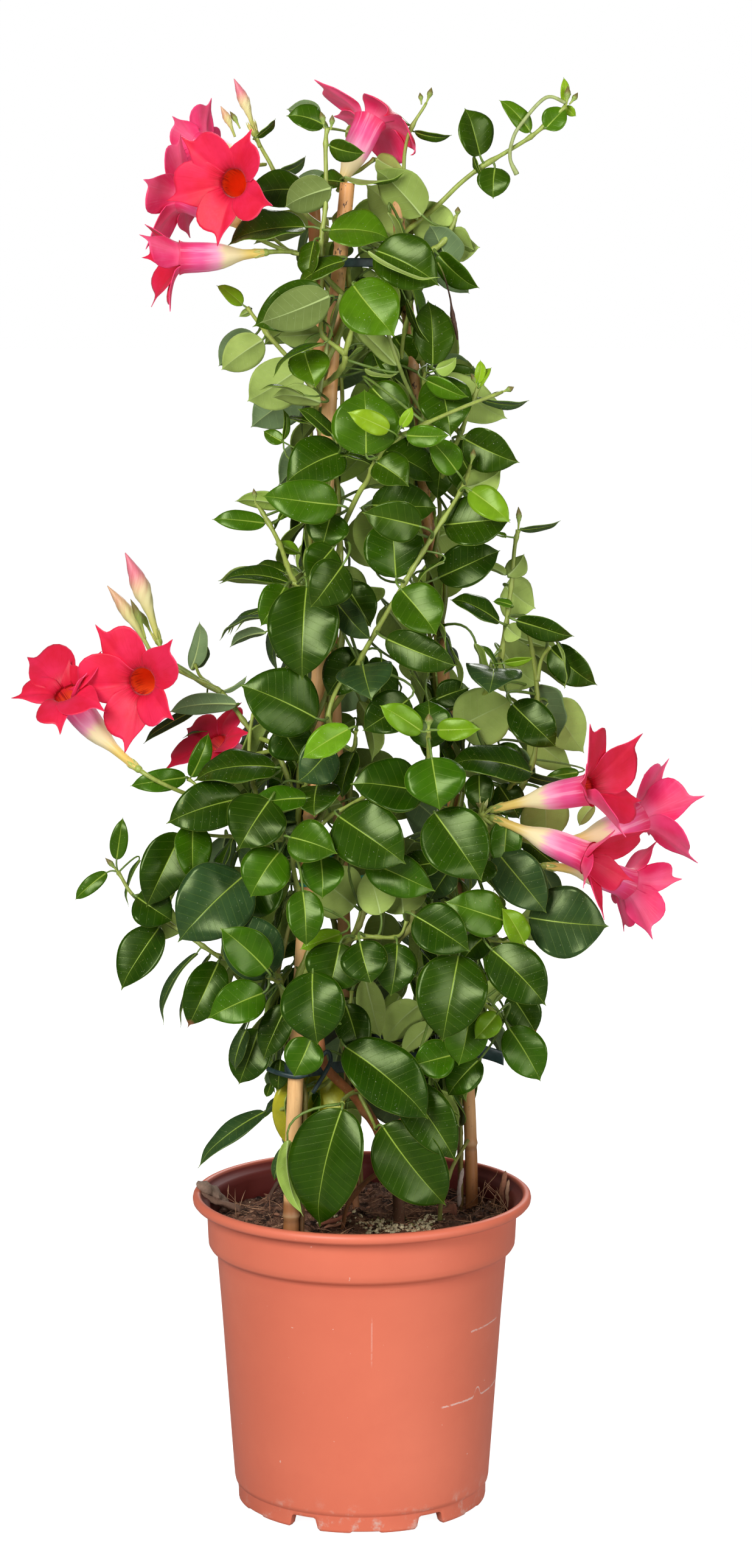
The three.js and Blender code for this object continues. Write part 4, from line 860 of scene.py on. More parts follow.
# %% Straps
def taut_line(z, clear, tilt=0.0):
    """The line round the canes at a height, an arc about each joined by straights, and its outward way."""
    rounds = [(cane_at(name, z)[:2], CANE_R[name] + clear) for name in ("front", "right", "back")]
    points, outward = [], []
    for i, (centre, radius) in enumerate(rounds):
        before, after = rounds[i - 1][0], rounds[(i + 1) % 3][0]
        start = math.atan2(-(centre - before)[0], (centre - before)[1])
        stop = math.atan2(-(after - centre)[0], (after - centre)[1])
        turn = start + np.linspace(0, (stop - start) % (2 * math.pi), 9)
        way = np.stack([np.cos(turn), np.sin(turn)], -1)
        points.append(centre + radius * way)
        outward.append(way)
    points, outward = np.vstack(points), np.vstack(outward)
    level = np.full((len(points), 1), float(z)) - tilt * points[:, :1]
    return np.hstack([points, level]), np.hstack([outward, 0 * level])


def strap(pile, z, height, thick, clear, tint, tilt=0.0):
    """A rounded rectangle, a superellipse of power 4, carried round the taut line."""
    line, outward = taut_line(z, clear + thick / 2, tilt)
    turn = bearings(14)
    power = lambda wave: np.sign(wave) * np.abs(wave) ** 0.5
    across = thick / 2 * power(np.cos(turn))[None, :, None]
    along = height / 2 * power(np.sin(turn))[None, :, None]
    points = line[:, None] + across * outward[:, None] + along * AXES[2]
    rows, cols = points.shape[:2]
    faces = weave(rows, cols, wrap=True, wrap_rows=True)[:, ::-1]
    pile.add(points.reshape(-1, 3), [(faces, 0, True)], tint=tint)


def tie_finish():
    """Moulded plastic: the tint, faintly clouded, with a satin face."""
    f = Finish("tie_plastic")
    cloud = f.noise(160, 4, 0.6, f.place())
    base = f.mix(cloud.ramp(0.4, 0.8) * 0.4, f.tint(), rgb(78, 106, 100))
    f.set(Base_Color=base, Roughness=0.32 + 0.2 * cloud)
    f.bump(cloud, 0.15, 0.0004)
    return f.material


tie_plastic = tie_finish()
DARK_TIE = rgb(27, 48, 47)
hoop = Pile()
strap(hoop, HOOP_Z + 6, 7.4, 1.5, 0.5, DARK_TIE, tilt=0.09)
hook = [(-32, 268, -70), (-26, 277, -72), (-21, 282, -72), (-19, 276, -73), (-24, 266, -74), (-30, 256, -74)]
tube(hoop, spline(sight(hook), 6), 1.8, 10, flat=0.75, tint=DARK_TIE)
tube(hoop, spline(sight([(-58, 271, -58), (-50, 268, -66), (-40, 266, -70), (-33, 268, -71)]), 6), 1.6, 10,
     flat=0.7, tint=DARK_TIE)
loose = spline([(66, 35.2, 275.5), (74, 35.0, 274.6), (82, 34.0, 272.6), (89, 31.6, 270.4)], 5)
rings(hoop, loose, 0.18 * AXES[1], AXES[2], 4.4, 12, tint=DARK_TIE)
piece("hoop_lower", hoop, [tie_plastic], ["hoop_lower"])
band = Pile()
strap(band, 396, 2.4, 0.9, 0.5, rgb(30, 150, 120))
piece("band_middle", band, [tie_plastic], ["band_middle"])
tie = Pile()
strap(tie, 764, 5.4, 1.7, 0.5, DARK_TIE)
clip = spline(sight([(20, 769, -12), (26, 768, -16), (31, 765, -18), (33, 761, -16)]), 5)
tube(tie, clip, 1.7, 10, tint=DARK_TIE)
piece("tie_upper", tie, [tie_plastic], ["tie_upper"])
WIRE = rgb(70, 110, 60)
wire = Pile()
turn = np.linspace(0, 4.4 * np.pi, 60)[:, None]
round_cane = cane_at("front", 741 + 1.6 * turn[:, 0] / np.pi / 2)
tube(wire, round_cane + 5.3 * np.hstack([np.cos(turn), np.sin(turn), 0 * turn]), 0.55, 6, tint=WIRE)
twist = cane_at("front", 741) + np.array([(3, -5, 0), (6, -7, 2), (8, -8, 5), (10, -8, 9)])
tube(wire, spline(twist, 5), 0.6, 6, tint=WIRE)
piece("wire_tie", wire, [tie_plastic], [])
print("hoop, band, ring and wire; the hoop holds", round(volume(hoop)), "mm3")

# %% [markdown]
# ## Leaves
#
# A leaf is a thin sheet with a stiff midrib. It could be a flat card with a drawn outline, but seen from the
# side a card vanishes, so each leaf is a closed shell: a grid that runs from base to tip and from edge to
# edge, folded along the midrib, turned down at the edges and a little wavy, with a ridge under the midrib.

# %% One leaf
FEW_COLS = np.array([-1, -0.8, -0.45, -0.06, 0, 0.06, 0.45, 0.8, 1])
MANY_COLS = np.array([-1, -0.86, -0.62, -0.32, -0.045, 0, 0.045, 0.32, 0.62, 0.86, 1])
LEAF_T = 0.4
# Upper and under tints of a leaf by age: mature, grown, young, pale back, yellow, bluish, sepal, and a darker
# olive back that is painted shade
AGES = [
    (rgb(36, 67, 2), rgb(150, 172, 86)),
    (rgb(55, 96, 5), rgb(154, 182, 82)),
    (rgb(108, 152, 22), rgb(158, 188, 82)),
    (rgb(56, 92, 10), rgb(170, 192, 102)),
    (rgb(196, 190, 50), rgb(190, 190, 80)),
    (rgb(46, 72, 36), rgb(116, 140, 96)),
    (rgb(196, 202, 116), rgb(214, 214, 150)),
    # painted shade: a darker copy of a leaf's tints, upper and under, for leaves that lie in shade
    (rgb(60, 84, 30), rgb(110, 126, 66)),
]


def half_width(t, broad, taper):
    """Half the blade's width as a share: a quarter ellipse up to its broadest, then shoulders and a tip.

    With g from 0 at the broadest to 1 at the end, the shoulders are (1 - (g / 0.92)^2.2)^taper and the
    drawn-out tip is 0.6 (1 - g); the width is the root of the sum of their squares.
    """
    g = np.clip((t - broad) / (1 - broad), 0, 1)
    rise = np.sqrt(np.clip(1 - (1 - np.minimum(t / broad, 1)) ** 2, 0, 1))
    shoulder = np.clip(1 - (g / 0.92) ** 2.2, 0, 1) ** taper
    return np.where(t < broad, rise, np.hypot(shoulder, 0.6 * (1 - g) * smooth(g, 0.3, 0.9)))


def blade_frame(base, tip, roll, facing):
    """The way the blade runs, its side, and its upper face: the facing made square to it, then rolled."""
    ahead = unit(tip - base)
    upper = unit(facing - ahead * (facing @ ahead))
    roll = math.radians(roll)
    upper = upper * math.cos(roll) + np.cross(ahead, upper) * math.sin(roll)
    return ahead, np.cross(ahead, upper), upper


def blade(pile, base, tip, width, roll, facing, age, fold=None, brown=0.0, bow=None, thick=LEAF_T,
          coarse=False):
    """A leaf blade as a shell.

    Midrib: base + t length ahead + bow length 4t(1-t) upper, its tip hooked down. Across it, with x from -1
    to 1 and h the half width: x h cos(fold) to the side and h (|x| sin(fold) - droop |x|^2.2) up, plus waves
    that grow towards the edge. The under face lies a leaf's thickness below, with a ridge under the midrib.
    """
    length = float(norm(tip - base))
    ahead, side, upper = blade_frame(base, tip, roll, facing)
    cols = FEW_COLS if length < 34 or coarse else MANY_COLS
    rows = 13 if length < 24 else 17 if length < 42 or coarse else 21
    u = np.linspace(0, 1, rows)
    t = (0.35 * u + 0.65 * (0.5 - 0.5 * np.cos(np.pi * u)))[:, None]
    x = cols[None, :]
    fold = math.radians(draw(7, 24)) if fold is None else math.radians(fold)
    bow = draw(0.03, 0.11) if bow is None else bow
    outline = half_width(t, draw(0.36, 0.46), draw(0.7, 0.95))
    h = np.maximum(width / 2 / math.cos(fold) * outline, 0.35 - 0.23 * t)
    twist = math.radians(draw(-9, 9)) * (t - 0.5)
    sickle = draw(-0.03, 0.03)
    droop = math.sin(fold) * 0.4 + draw(-0.03, 0.08)
    start, rate = draw(0, 2 * np.pi, 2)
    swing = np.sin(2 * np.pi * (1.2 + rate / 7) * t + start + 1.7 * np.sign(x))
    wave = 0.075 * width / 2 * np.abs(x) ** 2 * swing
    lift = h * (np.abs(x) * math.sin(fold) - droop * np.abs(x) ** 2.2) + wave * np.minimum(1, 2.5 * h / width)
    groove = -0.22 * (1 - t) * hump(x * h, 0.6)
    up = lift + groove + length * (bow * 4 * t * (1 - t) - 0.07 * smooth(t, 0.7, 1) ** 2)
    out = x * h * math.cos(fold)
    flat = out * np.cos(twist) + lift * np.sin(twist) + length * sickle * 4 * t * (1 - t)
    up = up - out * np.sin(twist)
    top = base + t[..., None] * length * ahead + flat[..., None] * side + up[..., None] * upper
    ridge = hump(x * h, 0.5) * 0.75 * (1 - 0.9 * t)
    under = top - (thick * np.minimum(1, 0.25 + h / 2) + ridge)[..., None] * normals(top)
    veins = max(5, round(length / 5.2)) * (1.06 * t - 0.5 * np.abs(x) * h / length)
    mark = columns(x * h, veins, t)
    seed = draw(0, 1)
    extra = columns((1 - np.abs(x)) * h, seed, brown)
    upper_tint, under_tint = (np.asarray(c) * draw(0.86, 1.14) for c in AGES[age])
    shift = draw(-0.06, 0.1)
    upper_tint = upper_tint * np.array([1 + shift, 1, 1 - shift])
    # painted light: from 500 to 760 mm up, the upper face is painted much lighter, for the better lit top of
    # the plant
    upper_tint = upper_tint * (1 + smooth(base[2], 500, 760) * np.array([0.85, 0.5, 0.9]))
    n = rows * len(cols)
    pile.add(
        np.vstack([top.reshape(-1, 3), under.reshape(-1, 3)]), shell_faces(rows, len(cols), 0, 1, 0),
        np.vstack([mark, mark]), np.vstack([extra, extra]),
        np.vstack([np.tile(upper_tint, (n, 1)), np.tile(under_tint, (n, 1))]),
    )


def petiole(pile, start, base, tip, age, thick=0.85):
    """A leaf's stalk: it leaves the stem, bends and runs on under the blade's first few millimetres."""
    ahead = unit(tip - base)
    gap = float(norm(base - start))
    line = bezier(start, base - 0.5 * gap * ahead, base + 1.2 * ahead, 7)
    share = np.linspace(0, 1, len(line))
    radius = thick * (1.15 - 0.35 * share)
    green = blend(rgb(120, 150, 62), AGES[age][0], 0.25)
    tube(pile, line, radius, 6, tint=np.asarray(green) * draw(0.85, 1.15))


# %% [markdown]
# The upper face is glossy and carries a pale midrib, fine side veins that run out to the edge and a thin pale
# margin; the under face is sage and dull, with the same veins raised. Both finishes read the marks that the
# grid keeps: millimetres from the midrib, a number that is whole on each side vein, and the way along.

# %% Upper and under faces
def leaf_finish(name, upper):
    """Tint, veins where the vein number is whole, a midrib 1 mm wide, a margin and browning."""
    f = Finish(name, Specular_IOR_Level=0.36 if upper else 0.16, Specular_Tint=(0.8, 1, 0.45))
    across, vein, along = f.split("mark")
    edge, seed, brown = f.split("extra")
    at = f.place()
    cloud = f.noise(70, 4, 0.6, at)
    fine = f.noise(1300, 3, 0.6, at)
    rib = (abs(across) + 0.5 * along).ramp(0.72, 0.26)
    side_vein = vein.saw().ramp(0.045, 0.01) * edge.ramp(0.4, 3.0) * along.ramp(0.99, 0.85)
    margin = edge.ramp(0.34, 0.1)
    quilt = vein.saw() * 2
    tint = f.tint()
    pale = rgb(158, 184, 70) if upper else rgb(184, 204, 132)
    dark = f.mix(1.0, tint, rgb(176, 184, 160), "MULTIPLY")
    base = f.mix(cloud.ramp(0.35, 0.7) * (0.5 if upper else 0.3), tint, dark)
    base = f.mix(abs(across).ramp(6, 0) * 0.04, base, pale)
    base = f.mix(side_vein * (0.1 if upper else 0.2), base, pale)
    base = f.mix(margin * 0.3, base, pale)
    base = f.mix(rib * 0.8, base, pale)
    dust = f.noise(1200, 1, 0.5, at).ramp(0.73, 0.78) * seed.ramp(0.0, 0.5)
    base = f.mix(dust * 0.4, base, rgb(206, 210, 180))
    spot = (along + 0.16 * f.noise(150, 3, 0.6, at) + 0.2 * brown).ramp(1.13, 1.17)
    base = f.mix(spot, base, f.mix(f.noise(300, 3, 0.6, at), rgb(84, 44, 22), rgb(150, 104, 70)))
    freckle = f.noise(500, 2, 0.5, at).ramp(0.71, 0.75) * seed.ramp(0.4, 0.9)
    base = f.mix(freckle * 0.5, base, rgb(150, 150, 80))
    rough = 0.17 if upper else 0.48
    f.set(Base_Color=base, Roughness=rough + 0.12 * cloud + 0.25 * spot + 0.06 * fine)
    height = 0.07 * quilt - 0.4 * rib - 0.08 * side_vein if upper else rib + 0.5 * side_vein
    f.bump(height + 0.06 * fine + 0.7 * cloud, 0.3 if upper else 0.4, 0.0006)
    return f.material


leaf_top = leaf_finish("leaf_upper", True)
leaf_under = leaf_finish("leaf_under", False)
trial = Pile()
blade(trial, np.zeros(3), np.array([0, 0, 50.0]), 30, 0, FRONT, 0)
print("a 50 by 30 mm leaf holds", round(volume(trial)), "mm3")

# %% [markdown]
# ## Leafy shoots
#
# Each shoot is written as it was read off the plant: the cane and height it leaves, its stems, and its
# leaves as base x, z, depth, tip x, z, depth, width, roll and age. Roll 0 shows the upper face to the front
# and 180 the under face.

# %% Shoots of the front
SHOOTS = {}


def shoot(name, host, z, stems, leaves):
    """Notes a shoot down; roll and age are 0 where a leaf's row leaves them out."""
    SHOOTS[name] = (host, z), stems, [(*row, 0, 0)[:9] for row in leaves]


shoot("bud_spray", "front", 780, [
    [(-30, 790, -12), (-45, 806, -4), (-55, 824, 0), (-63, 838, 0)],
], [
    (-49, 817, 2, -32, 826, 8, 11, 70, 5), (-31, 806, -14, -70, 803, -18, 26, 15),
    (-62, 838, -10, -50, 848, -5, 8, 75),
])
shoot("top_leader", "front", 742, [
    [(-22, 757, -34), (-24, 772, -38), (-21, 800, -36), (-21, 834, -32), (-20, 843, -30)],
    [(-24, 765, -36), (-34, 768, -34), (-43, 771, -32), (-52, 778, -30), (-58, 783, -28)],
], [
    (-22, 845, -30, -44, 851, -34, 17, 10), (-19, 833, -32, 2, 828, -38, 14, 45),
    (-18, 808, -40, -46, 797, -46, 22, 150, 7), (-19, 783, -44, 18, 779, -52, 30, -25, 1),
    (-33, 785, -36, -80, 777, -44, 32, 40), (-10, 765, -48, -39, 750, -50, 18, 35),
    (-28, 777, -42, -32, 753, -48, 17, 40),
])
shoot("top_middle", "front", 790, [
    [(-8, 800, -4), (-11, 812, 0), (0, 819, 6), (8, 825, 10)],
], [
    (-10, 814, -8, 27, 815, -16, 18, 108, 3), (9, 825, 8, 26, 817, 12, 18, 162, 3),
    (-10, 811, -5, -27, 812, -5, 16, 30),
])
shoot("long_right", "right", 778, [
    [(34, 788, 6), (45, 797, 4), (67, 817, 0), (101, 838, 0), (122, 856, 0)],
    [(34, 788, 6), (26, 812, 8), (28, 838, 6), (39, 858, 6)],
], [
    (71, 827, -3, 63, 855, -8, 26, 28), (80, 820, -2, 79, 802, -8, 20), (101, 841, 0, 83, 860, -4, 12, 10, 1),
    (110, 843, -2, 122, 855, 0, 15, 0, 1), (29, 845, 10, 12, 856, 15, 7, 60),
    (32, 841, 10, 54, 838, 8, 7, 60), (67, 827, 0, 72, 815, -5, 7, 70), (121, 858, 5, 121, 873, 5, 6, 20, 2),
    (122, 856, 5, 128, 850, 5, 6, 30, 2),
])
shoot("pale_top", "right", 752, [
    [(34, 766, -2), (48, 775, -2), (55, 786, 0), (57, 792, 0)],
    [(34, 766, -2), (20, 771, -24), (8, 772, -46)],
], [
    (33, 782, 14, 3, 810, 18, 28, 165, 3), (50, 775, 4, 37, 801, 8, 26, 170, 3),
    (49, 776, 6, 71, 772, 8, 22, 160, 3), (46, 769, -8, 70, 748, -14, 17, 45),
    (9, 771, -52, 47, 751, -60, 34), (4, 770, -68, 46, 752, -76, 12, 112, 3),
    (27, 742, -40, 39, 716, -45, 8, 70),
])
shoot("heart", "front", 690, [
    [(-14, 698, -44), (-10, 709, -50), (-24, 722, -52), (-21, 736, -60)],
    [(-10, 709, -50), (-4, 730, -54), (-3, 752, -62)],
], [
    (-5, 751, -66, 20, 721, -80, 36, 0, 1), (22, 703, -52, -3, 727, -58, 16, 130, 3),
    (2, 700, -18, 24, 708, -20, 20, 15), (20, 720, 2, 34, 700, 8, 22, 20),
    (-22, 747, -58, -65, 726, -64, 28, -12), (-19, 744, -72, -61, 728, -80, 25, 165, 7),
    (-24, 722, -40, -51, 720, -46, 15, 160, 3), (-22, 716, -76, -54, 698, -84, 13, 60),
    (-34, 711, -64, -27, 690, -74, 25, -10, 1), (2, 700, -35, 23, 697, -40, 12, 110, 3),
])
shoot("left_pale", "front", 678, [
    [(-28, 688, -44), (-40, 703, -36), (-55, 720, -24), (-62, 729, -16), (-68, 737, -10)],
], [
    (-36, 702, -44, -69, 681, -54, 30, 165, 3), (-24, 681, -64, -54, 685, -68, 15, 130, 3),
    (-34, 685, -76, -61, 690, -80, 10, 72), (-59, 718, -20, -84, 700, -22, 22, 165, 3),
    (-71, 739, -8, -86, 751, -8, 11, 25, 2), (-66, 736, -5, -73, 732, 0, 5, 150, 1),
])
shoot("upper_right", "right", 612, [
    [(46, 628, -8), (53, 646, -24), (60, 662, -32), (65, 676, -34), (71, 691, -32)],
    [(60, 662, -32), (46, 676, -26), (38, 692, -26), (40, 703, -30)],
], [
    (43, 703, -34, 41, 742, -28, 26, 18), (46, 697, -6, 70, 698, -2, 14, 25),
    (50, 696, -16, 87, 670, -12, 26, 170, 3), (39, 694, -52, 64, 683, -60, 13, 45, 1),
    (47, 696, -38, 54, 661, -54, 32), (62, 659, -46, 95, 644, -54, 26, 30),
    (55, 657, -20, 73, 624, -24, 26, 8), (51, 655, -12, 46, 622, -16, 20, 5),
    (71, 683, -28, 101, 680, -30, 9, 72, 5), (45, 700, -50, 58, 707, -55, 12, 150, 1),
    (70, 692, -35, 72, 706, -35, 7, 20, 2), (71, 690, -35, 78, 702, -32, 6, -30, 2),
])
shoot("long_pale", "front", 588, [
    [(-13, 602, -62), (-2, 625, -72), (4, 634, -76), (9, 646, -84), (20, 658, -90), (50, 673, -76),
     (85, 687, -56)],
], [
    (3, 649, -92, 2, 689, -86, 40, 0, 1), (6, 690, -40, 29, 666, -44, 26, 8),
    (17, 664, -106, -8, 675, -112, 13, -8, 2), (27, 661, -94, 53, 661, -100, 13, 15, 1),
    (9, 645, -86, 29, 631, -94, 24, -15), (24, 666, -100, 31, 678, -100, 7, 20, 2),
    (9, 643, -75, -12, 650, -75, 12, 60),
])
shoot("diagonal", "front", 498, [
    [(-8, 509, -60), (2, 530, -68), (20, 561, -74), (40, 595, -74), (60, 627, -66), (66, 643, -58)],
], [
    (58, 639, -76, 41, 659, -80, 18, 0, 1), (62, 629, -46, 85, 640, -42, 22, 165, 3),
    (66, 628, -76, 90, 609, -86, 18, 0, 2), (50, 607, -64, 90, 611, -70, 32, -8),
    (36, 606, -92, 1, 614, -100, 24, -22), (6, 619, -54, 46, 618, -60, 28), (21, 575, -72, 18, 612, -64, 36),
    (24, 568, -98, 46, 541, -110, 30, -10, 1), (15, 538, -80, 58, 521, -90, 22, 15),
    (47, 575, -30, 84, 592, -30, 26), (50, 585, -80, 33, 572, -85, 8, 70),
])
shoot("left_upper", "front", 576, [
    [(-14, 590, -58), (-14, 603, -68), (-20, 625, -64), (-17, 648, -62)],
], [
    (-14, 619, -92, -60, 625, -102, 26, -5, 1), (-18, 614, -78, -24, 592, -84, 26, 8),
    (-17, 593, -84, -33, 574, -92, 24, -20), (-11, 583, -98, -30, 557, -108, 28, -22),
    (-11, 651, -70, -46, 633, -82, 32, 10), (-17, 661, -84, -37, 678, -84, 14, 40),
    (-30, 668, -30, -46, 672, -26, 10, 55), (-47, 657, -30, -59, 664, -25, 9, 0, 1),
    (-47, 658, -30, -46, 677, -30, 6, 50, 1),
])
shoot("left_arm", "front", 545, [
    [(-34, 560, -48), (-42, 575, -38), (-48, 592, -24), (-52, 601, -16), (-60, 615, -10), (-64, 620, -10)],
    [(-34, 560, -48), (-38, 570, -58), (-42, 572, -58)],
], [
    (-58, 608, -10, -90, 611, -12, 13, 5, 1), (-44, 572, -50, -86, 574, -44, 17, 45),
    (-46, 578, -26, -63, 584, -22, 12, 40), (-46, 570, -64, -61, 546, -74, 20, 0, 1),
    (-56, 551, -44, -87, 539, -38, 14, 70, 5), (-57, 556, -28, -81, 542, -22, 12, 60),
    (-33, 570, -78, -36, 513, -92, 42), (-50, 610, -10, -44, 620, -5, 5, 40, 1),
    (-38, 590, -10, -52, 596, -10, 9, 20, 2), (-58, 542, -35, -80, 534, -30, 10, 120, 5),
])
shoot("left_shield", "front", 468, [
    [(-18, 478, -62), (-20, 492, -70), (-12, 512, -62), (0, 521, -62)],
    [(-18, 478, -62), (-6, 470, -80), (-3, 482, -98)],
], [
    (-19, 566, -66, 5, 537, -76, 18, 28, 5), (-10, 571, -42, 6, 545, -46, 24),
    (1, 530, -56, -21, 503, -60, 26), (1, 522, -76, 6, 502, -104, 34, 0, 5), (29, 501, -70, 1, 482, -80, 26),
    (-27, 489, -80, -73, 510, -90, 40), (-7, 483, -108, -36, 465, -116, 18, 0, 2),
    (-49, 484, -64, -36, 463, -68, 28), (-18, 472, -84, -38, 450, -98, 28, -25, 5),
])
shoot("young_pair", "right", 425, [
    [(46, 436, -30), (42, 446, -66), (41, 470, -88), (41, 482, -98)],
], [
    (37, 481, -98, 12, 497, -106, 16, 0, 2), (46, 482, -98, 73, 483, -104, 14, 0, 2),
    (41, 471, -68, 41, 501, -60, 27), (43, 465, -108, 48, 433, -120, 36, 0, 1),
])
shoot("right_thin", "right", 472, [
    [(70, 497, -4), (82, 516, -18), (87, 540, -22), (91, 570, -20), (93, 594, -18), (95, 604, -18)],
], [
    (96, 604, -18, 121, 608, -16, 7, 70, 5), (89, 576, -22, 99, 589, -18, 14, 160, 3),
    (87, 570, -12, 105, 556, -6, 28, 168, 3), (84, 548, -30, 55, 563, -36, 18, 35),
    (80, 520, -48, 78, 506, -78, 34, 0, 5), (84, 533, -4, 108, 509, 0, 34, 170, 3),
    (58, 483, -24, 92, 500, -18, 38, 172, 3), (46, 501, -6, 66, 508, -6, 18),
    (83, 520, -50, 72, 535, -50, 8, 60, 1), (87, 523, -55, 105, 526, -60, 6, 40, 2),
    (88, 577, -20, 74, 583, -20, 8, 120, 3), (92, 558, -25, 80, 561, -25, 7, 30, 1),
    (88, 545, -25, 97, 538, -25, 14, 165, 3), (88, 600, -20, 80, 602, -18, 5, 40, 1),
])
shoot("right_outer", "right", 412, [
    [(84, 430, -4), (104, 460, -8), (107, 500, -6), (104, 530, -8), (99, 552, -12)],
    [(107, 512, -6), (110, 526, -6), (115, 533, -8)],
    [(84, 430, -4), (90, 446, -34), (100, 455, -54)],
], [
    (94, 549, -34, 129, 538, -38, 16, 42), (115, 532, -8, 143, 509, -16, 22, 28),
    (92, 498, -36, 119, 472, -46, 26), (114, 499, 2, 135, 468, 8, 30, 175, 3),
    (103, 478, 8, 128, 458, 12, 22, 170, 3), (98, 462, -16, 84, 474, -16, 12, 20),
    (104, 456, -60, 54, 463, -72, 30, 38), (112, 441, -14, 113, 411, -8, 32, 165, 3),
    (72, 455, -46, 73, 431, -52, 18), (84, 448, -32, 97, 427, -34, 20), (98, 417, -24, 123, 396, -28, 13, 20),
    (97, 456, -30, 125, 450, -25, 10, 60, 5), (133, 456, 0, 112, 453, 0, 8, 0, 1),
    (142, 436, -5, 133, 423, -5, 9, 160, 3),
])
shoot("centre", "front", 362, [
    [(-38, 380, -66), (-42, 400, -80), (-42, 414, -92)],
    [(-42, 400, -80), (-22, 426, -78), (-12, 433, -86), (14, 446, -78), (38, 447, -82)],
], [
    (-14, 429, -98, 27, 400, -114, 40), (38, 444, -90, -6, 450, -100, 34, 15),
    (-27, 448, -72, -29, 430, -94, 32, 10), (-44, 416, -108, -15, 406, -118, 26, 0, 1),
    (-25, 404, -92, -24, 378, -102, 26, 0, 1), (-36, 383, -110, -34, 348, -118, 22, 0, 1),
    (-12, 356, -88, -38, 347, -94, 14, 20, 2), (0, 446, -80, 30, 440, -85, 14, 20),
])
shoot("left_centre", "front", 408, [
    [(-46, 414, -60), (-58, 428, -66), (-64, 442, -62), (-68, 460, -52), (-68, 478, -42), (-66, 492, -36)],
    [(-46, 414, -60), (-75, 416, -58), (-92, 417, -56), (-101, 420, -56)],
], [
    (-52, 459, -74, -103, 453, -82, 30, 40), (-72, 440, -74, -119, 425, -88, 30),
    (-56, 439, -94, -75, 409, -108, 36), (-33, 440, -84, -70, 435, -94, 17, 18, 1),
    (-50, 407, -94, -68, 379, -104, 30, 0, 1), (-72, 392, -76, -113, 351, -90, 46, 0, 5),
    (-54, 395, -58, -73, 366, -62, 30), (-103, 424, -68, -103, 387, -80, 24, -25, 1),
    (-110, 418, -52, -132, 372, -60, 30, -10),
])
shoot("flower_arm", "front", 440, [
    [(-52, 470, -40), (-66, 480, -30), (-85, 505, -26), (-108, 517, -22), (-125, 531, -16)],
    [(-52, 470, -40), (-80, 462, -50), (-94, 446, -56), (-106, 452, -54)],
    [(-85, 505, -26), (-97, 514, -8), (-101, 522, 2)],
], [
    (-76, 498, -36, -118, 494, -46, 14, 146, 5), (-100, 495, -12, -134, 475, -12, 9, 30, 5),
    (-104, 453, -50, -93, 480, -48, 12, 10, 1), (-107, 453, -56, -141, 448, -64, 14, 0, 1),
    (-103, 519, 4, -97, 548, 8, 13, 150, 5), (-101, 520, 10, -93, 534, 15, 9, 145, 5),
    (-84, 505, -20, -69, 514, -15, 7, 125, 5), (-82, 480, 0, -109, 479, 0, 6, 70),
])
shoot("left_low", "front", 318, [
    [(-52, 330, -60), (-66, 340, -54), (-85, 341, -50), (-100, 350, -48), (-137, 377, -30),
     (-149, 394, -20)],
    [(-50, 326, -62), (-52, 326, -76), (-58, 329, -90)],
], [
    (-138, 379, -46, -116, 364, -52, 26), (-136, 402, -12, -145, 373, -12, 9, 72, 3),
    (-150, 402, -18, -146, 428, -18, 11, 0, 1), (-156, 394, -18, -176, 377, -20, 10, 0, 1),
    (-124, 360, -34, -149, 321, -44, 27, 15), (-101, 344, -50, -125, 300, -56, 12, 62, 5),
    (-88, 338, -56, -107, 297, -66, 25, -8), (-58, 333, -100, -86, 359, -108, 26, 0, 1),
    (-54, 331, -84, -84, 367, -86, 36, 0, 5), (-60, 319, -92, -95, 303, -100, 26, 0, 1),
    (-46, 311, -76, -61, 277, -82, 20, 10), (-63, 296, -50, -76, 261, -56, 26),
    (-50, 277, -46, -52, 257, -48, 13, 10), (-71, 296, -60, -79, 270, -62, 12, 30, 5),
])
shoot("pale_fan", "front", 335, [
    [(-24, 345, -66), (-12, 350, -78), (-5, 356, -70), (0, 370, -62)],
    [(-12, 350, -78), (0, 354, -88), (22, 354, -88), (28, 364, -84)],
], [
    (-4, 373, -64, -30, 393, -56, 34, 170, 3), (26, 368, -74, 22, 399, -62, 30, 175, 3),
    (12, 368, -82, 4, 396, -72, 24, 165, 3), (3, 401, -88, 45, 382, -98, 26, 15, 1),
    (33, 367, -104, 67, 345, -112, 30), (-30, 332, -106, -27, 286, -116, 38),
    (-13, 350, -98, -20, 319, -106, 36), (-1, 351, -108, 6, 325, -120, 28), (22, 350, -95, 18, 317, -105, 26),
])
shoot("right_low", "right", 312, [
    [(66, 326, 0), (66, 342, -46), (80, 352, -58), (100, 348, -60)],
    [(66, 326, 0), (74, 314, -34), (88, 302, -50)],
], [
    (88, 364, -88, 52, 376, -98, 28, 0, 1), (100, 350, -84, 87, 372, -90, 17, 20, 2),
    (80, 346, -94, 114, 311, -104, 32), (76, 354, -78, 62, 339, -86, 18),
    (103, 366, -58, 152, 361, -64, 44, 0, 5), (60, 343, -100, 50, 288, -112, 42),
    (67, 309, -82, 60, 273, -88, 26, 0, 1), (84, 306, -86, 70, 290, -92, 15, 0, 2),
    (91, 297, -56, 111, 263, -62, 26, 0, 1), (92, 318, -36, 108, 293, -40, 22),
    (57, 280, -70, 31, 273, -74, 24, 0, 1), (73, 277, -54, 53, 254, -58, 22, 10),
    (88, 325, -30, 72, 314, -30, 14, 170, 3), (44, 300, -20, 24, 280, -25, 14, 150, 3),
])
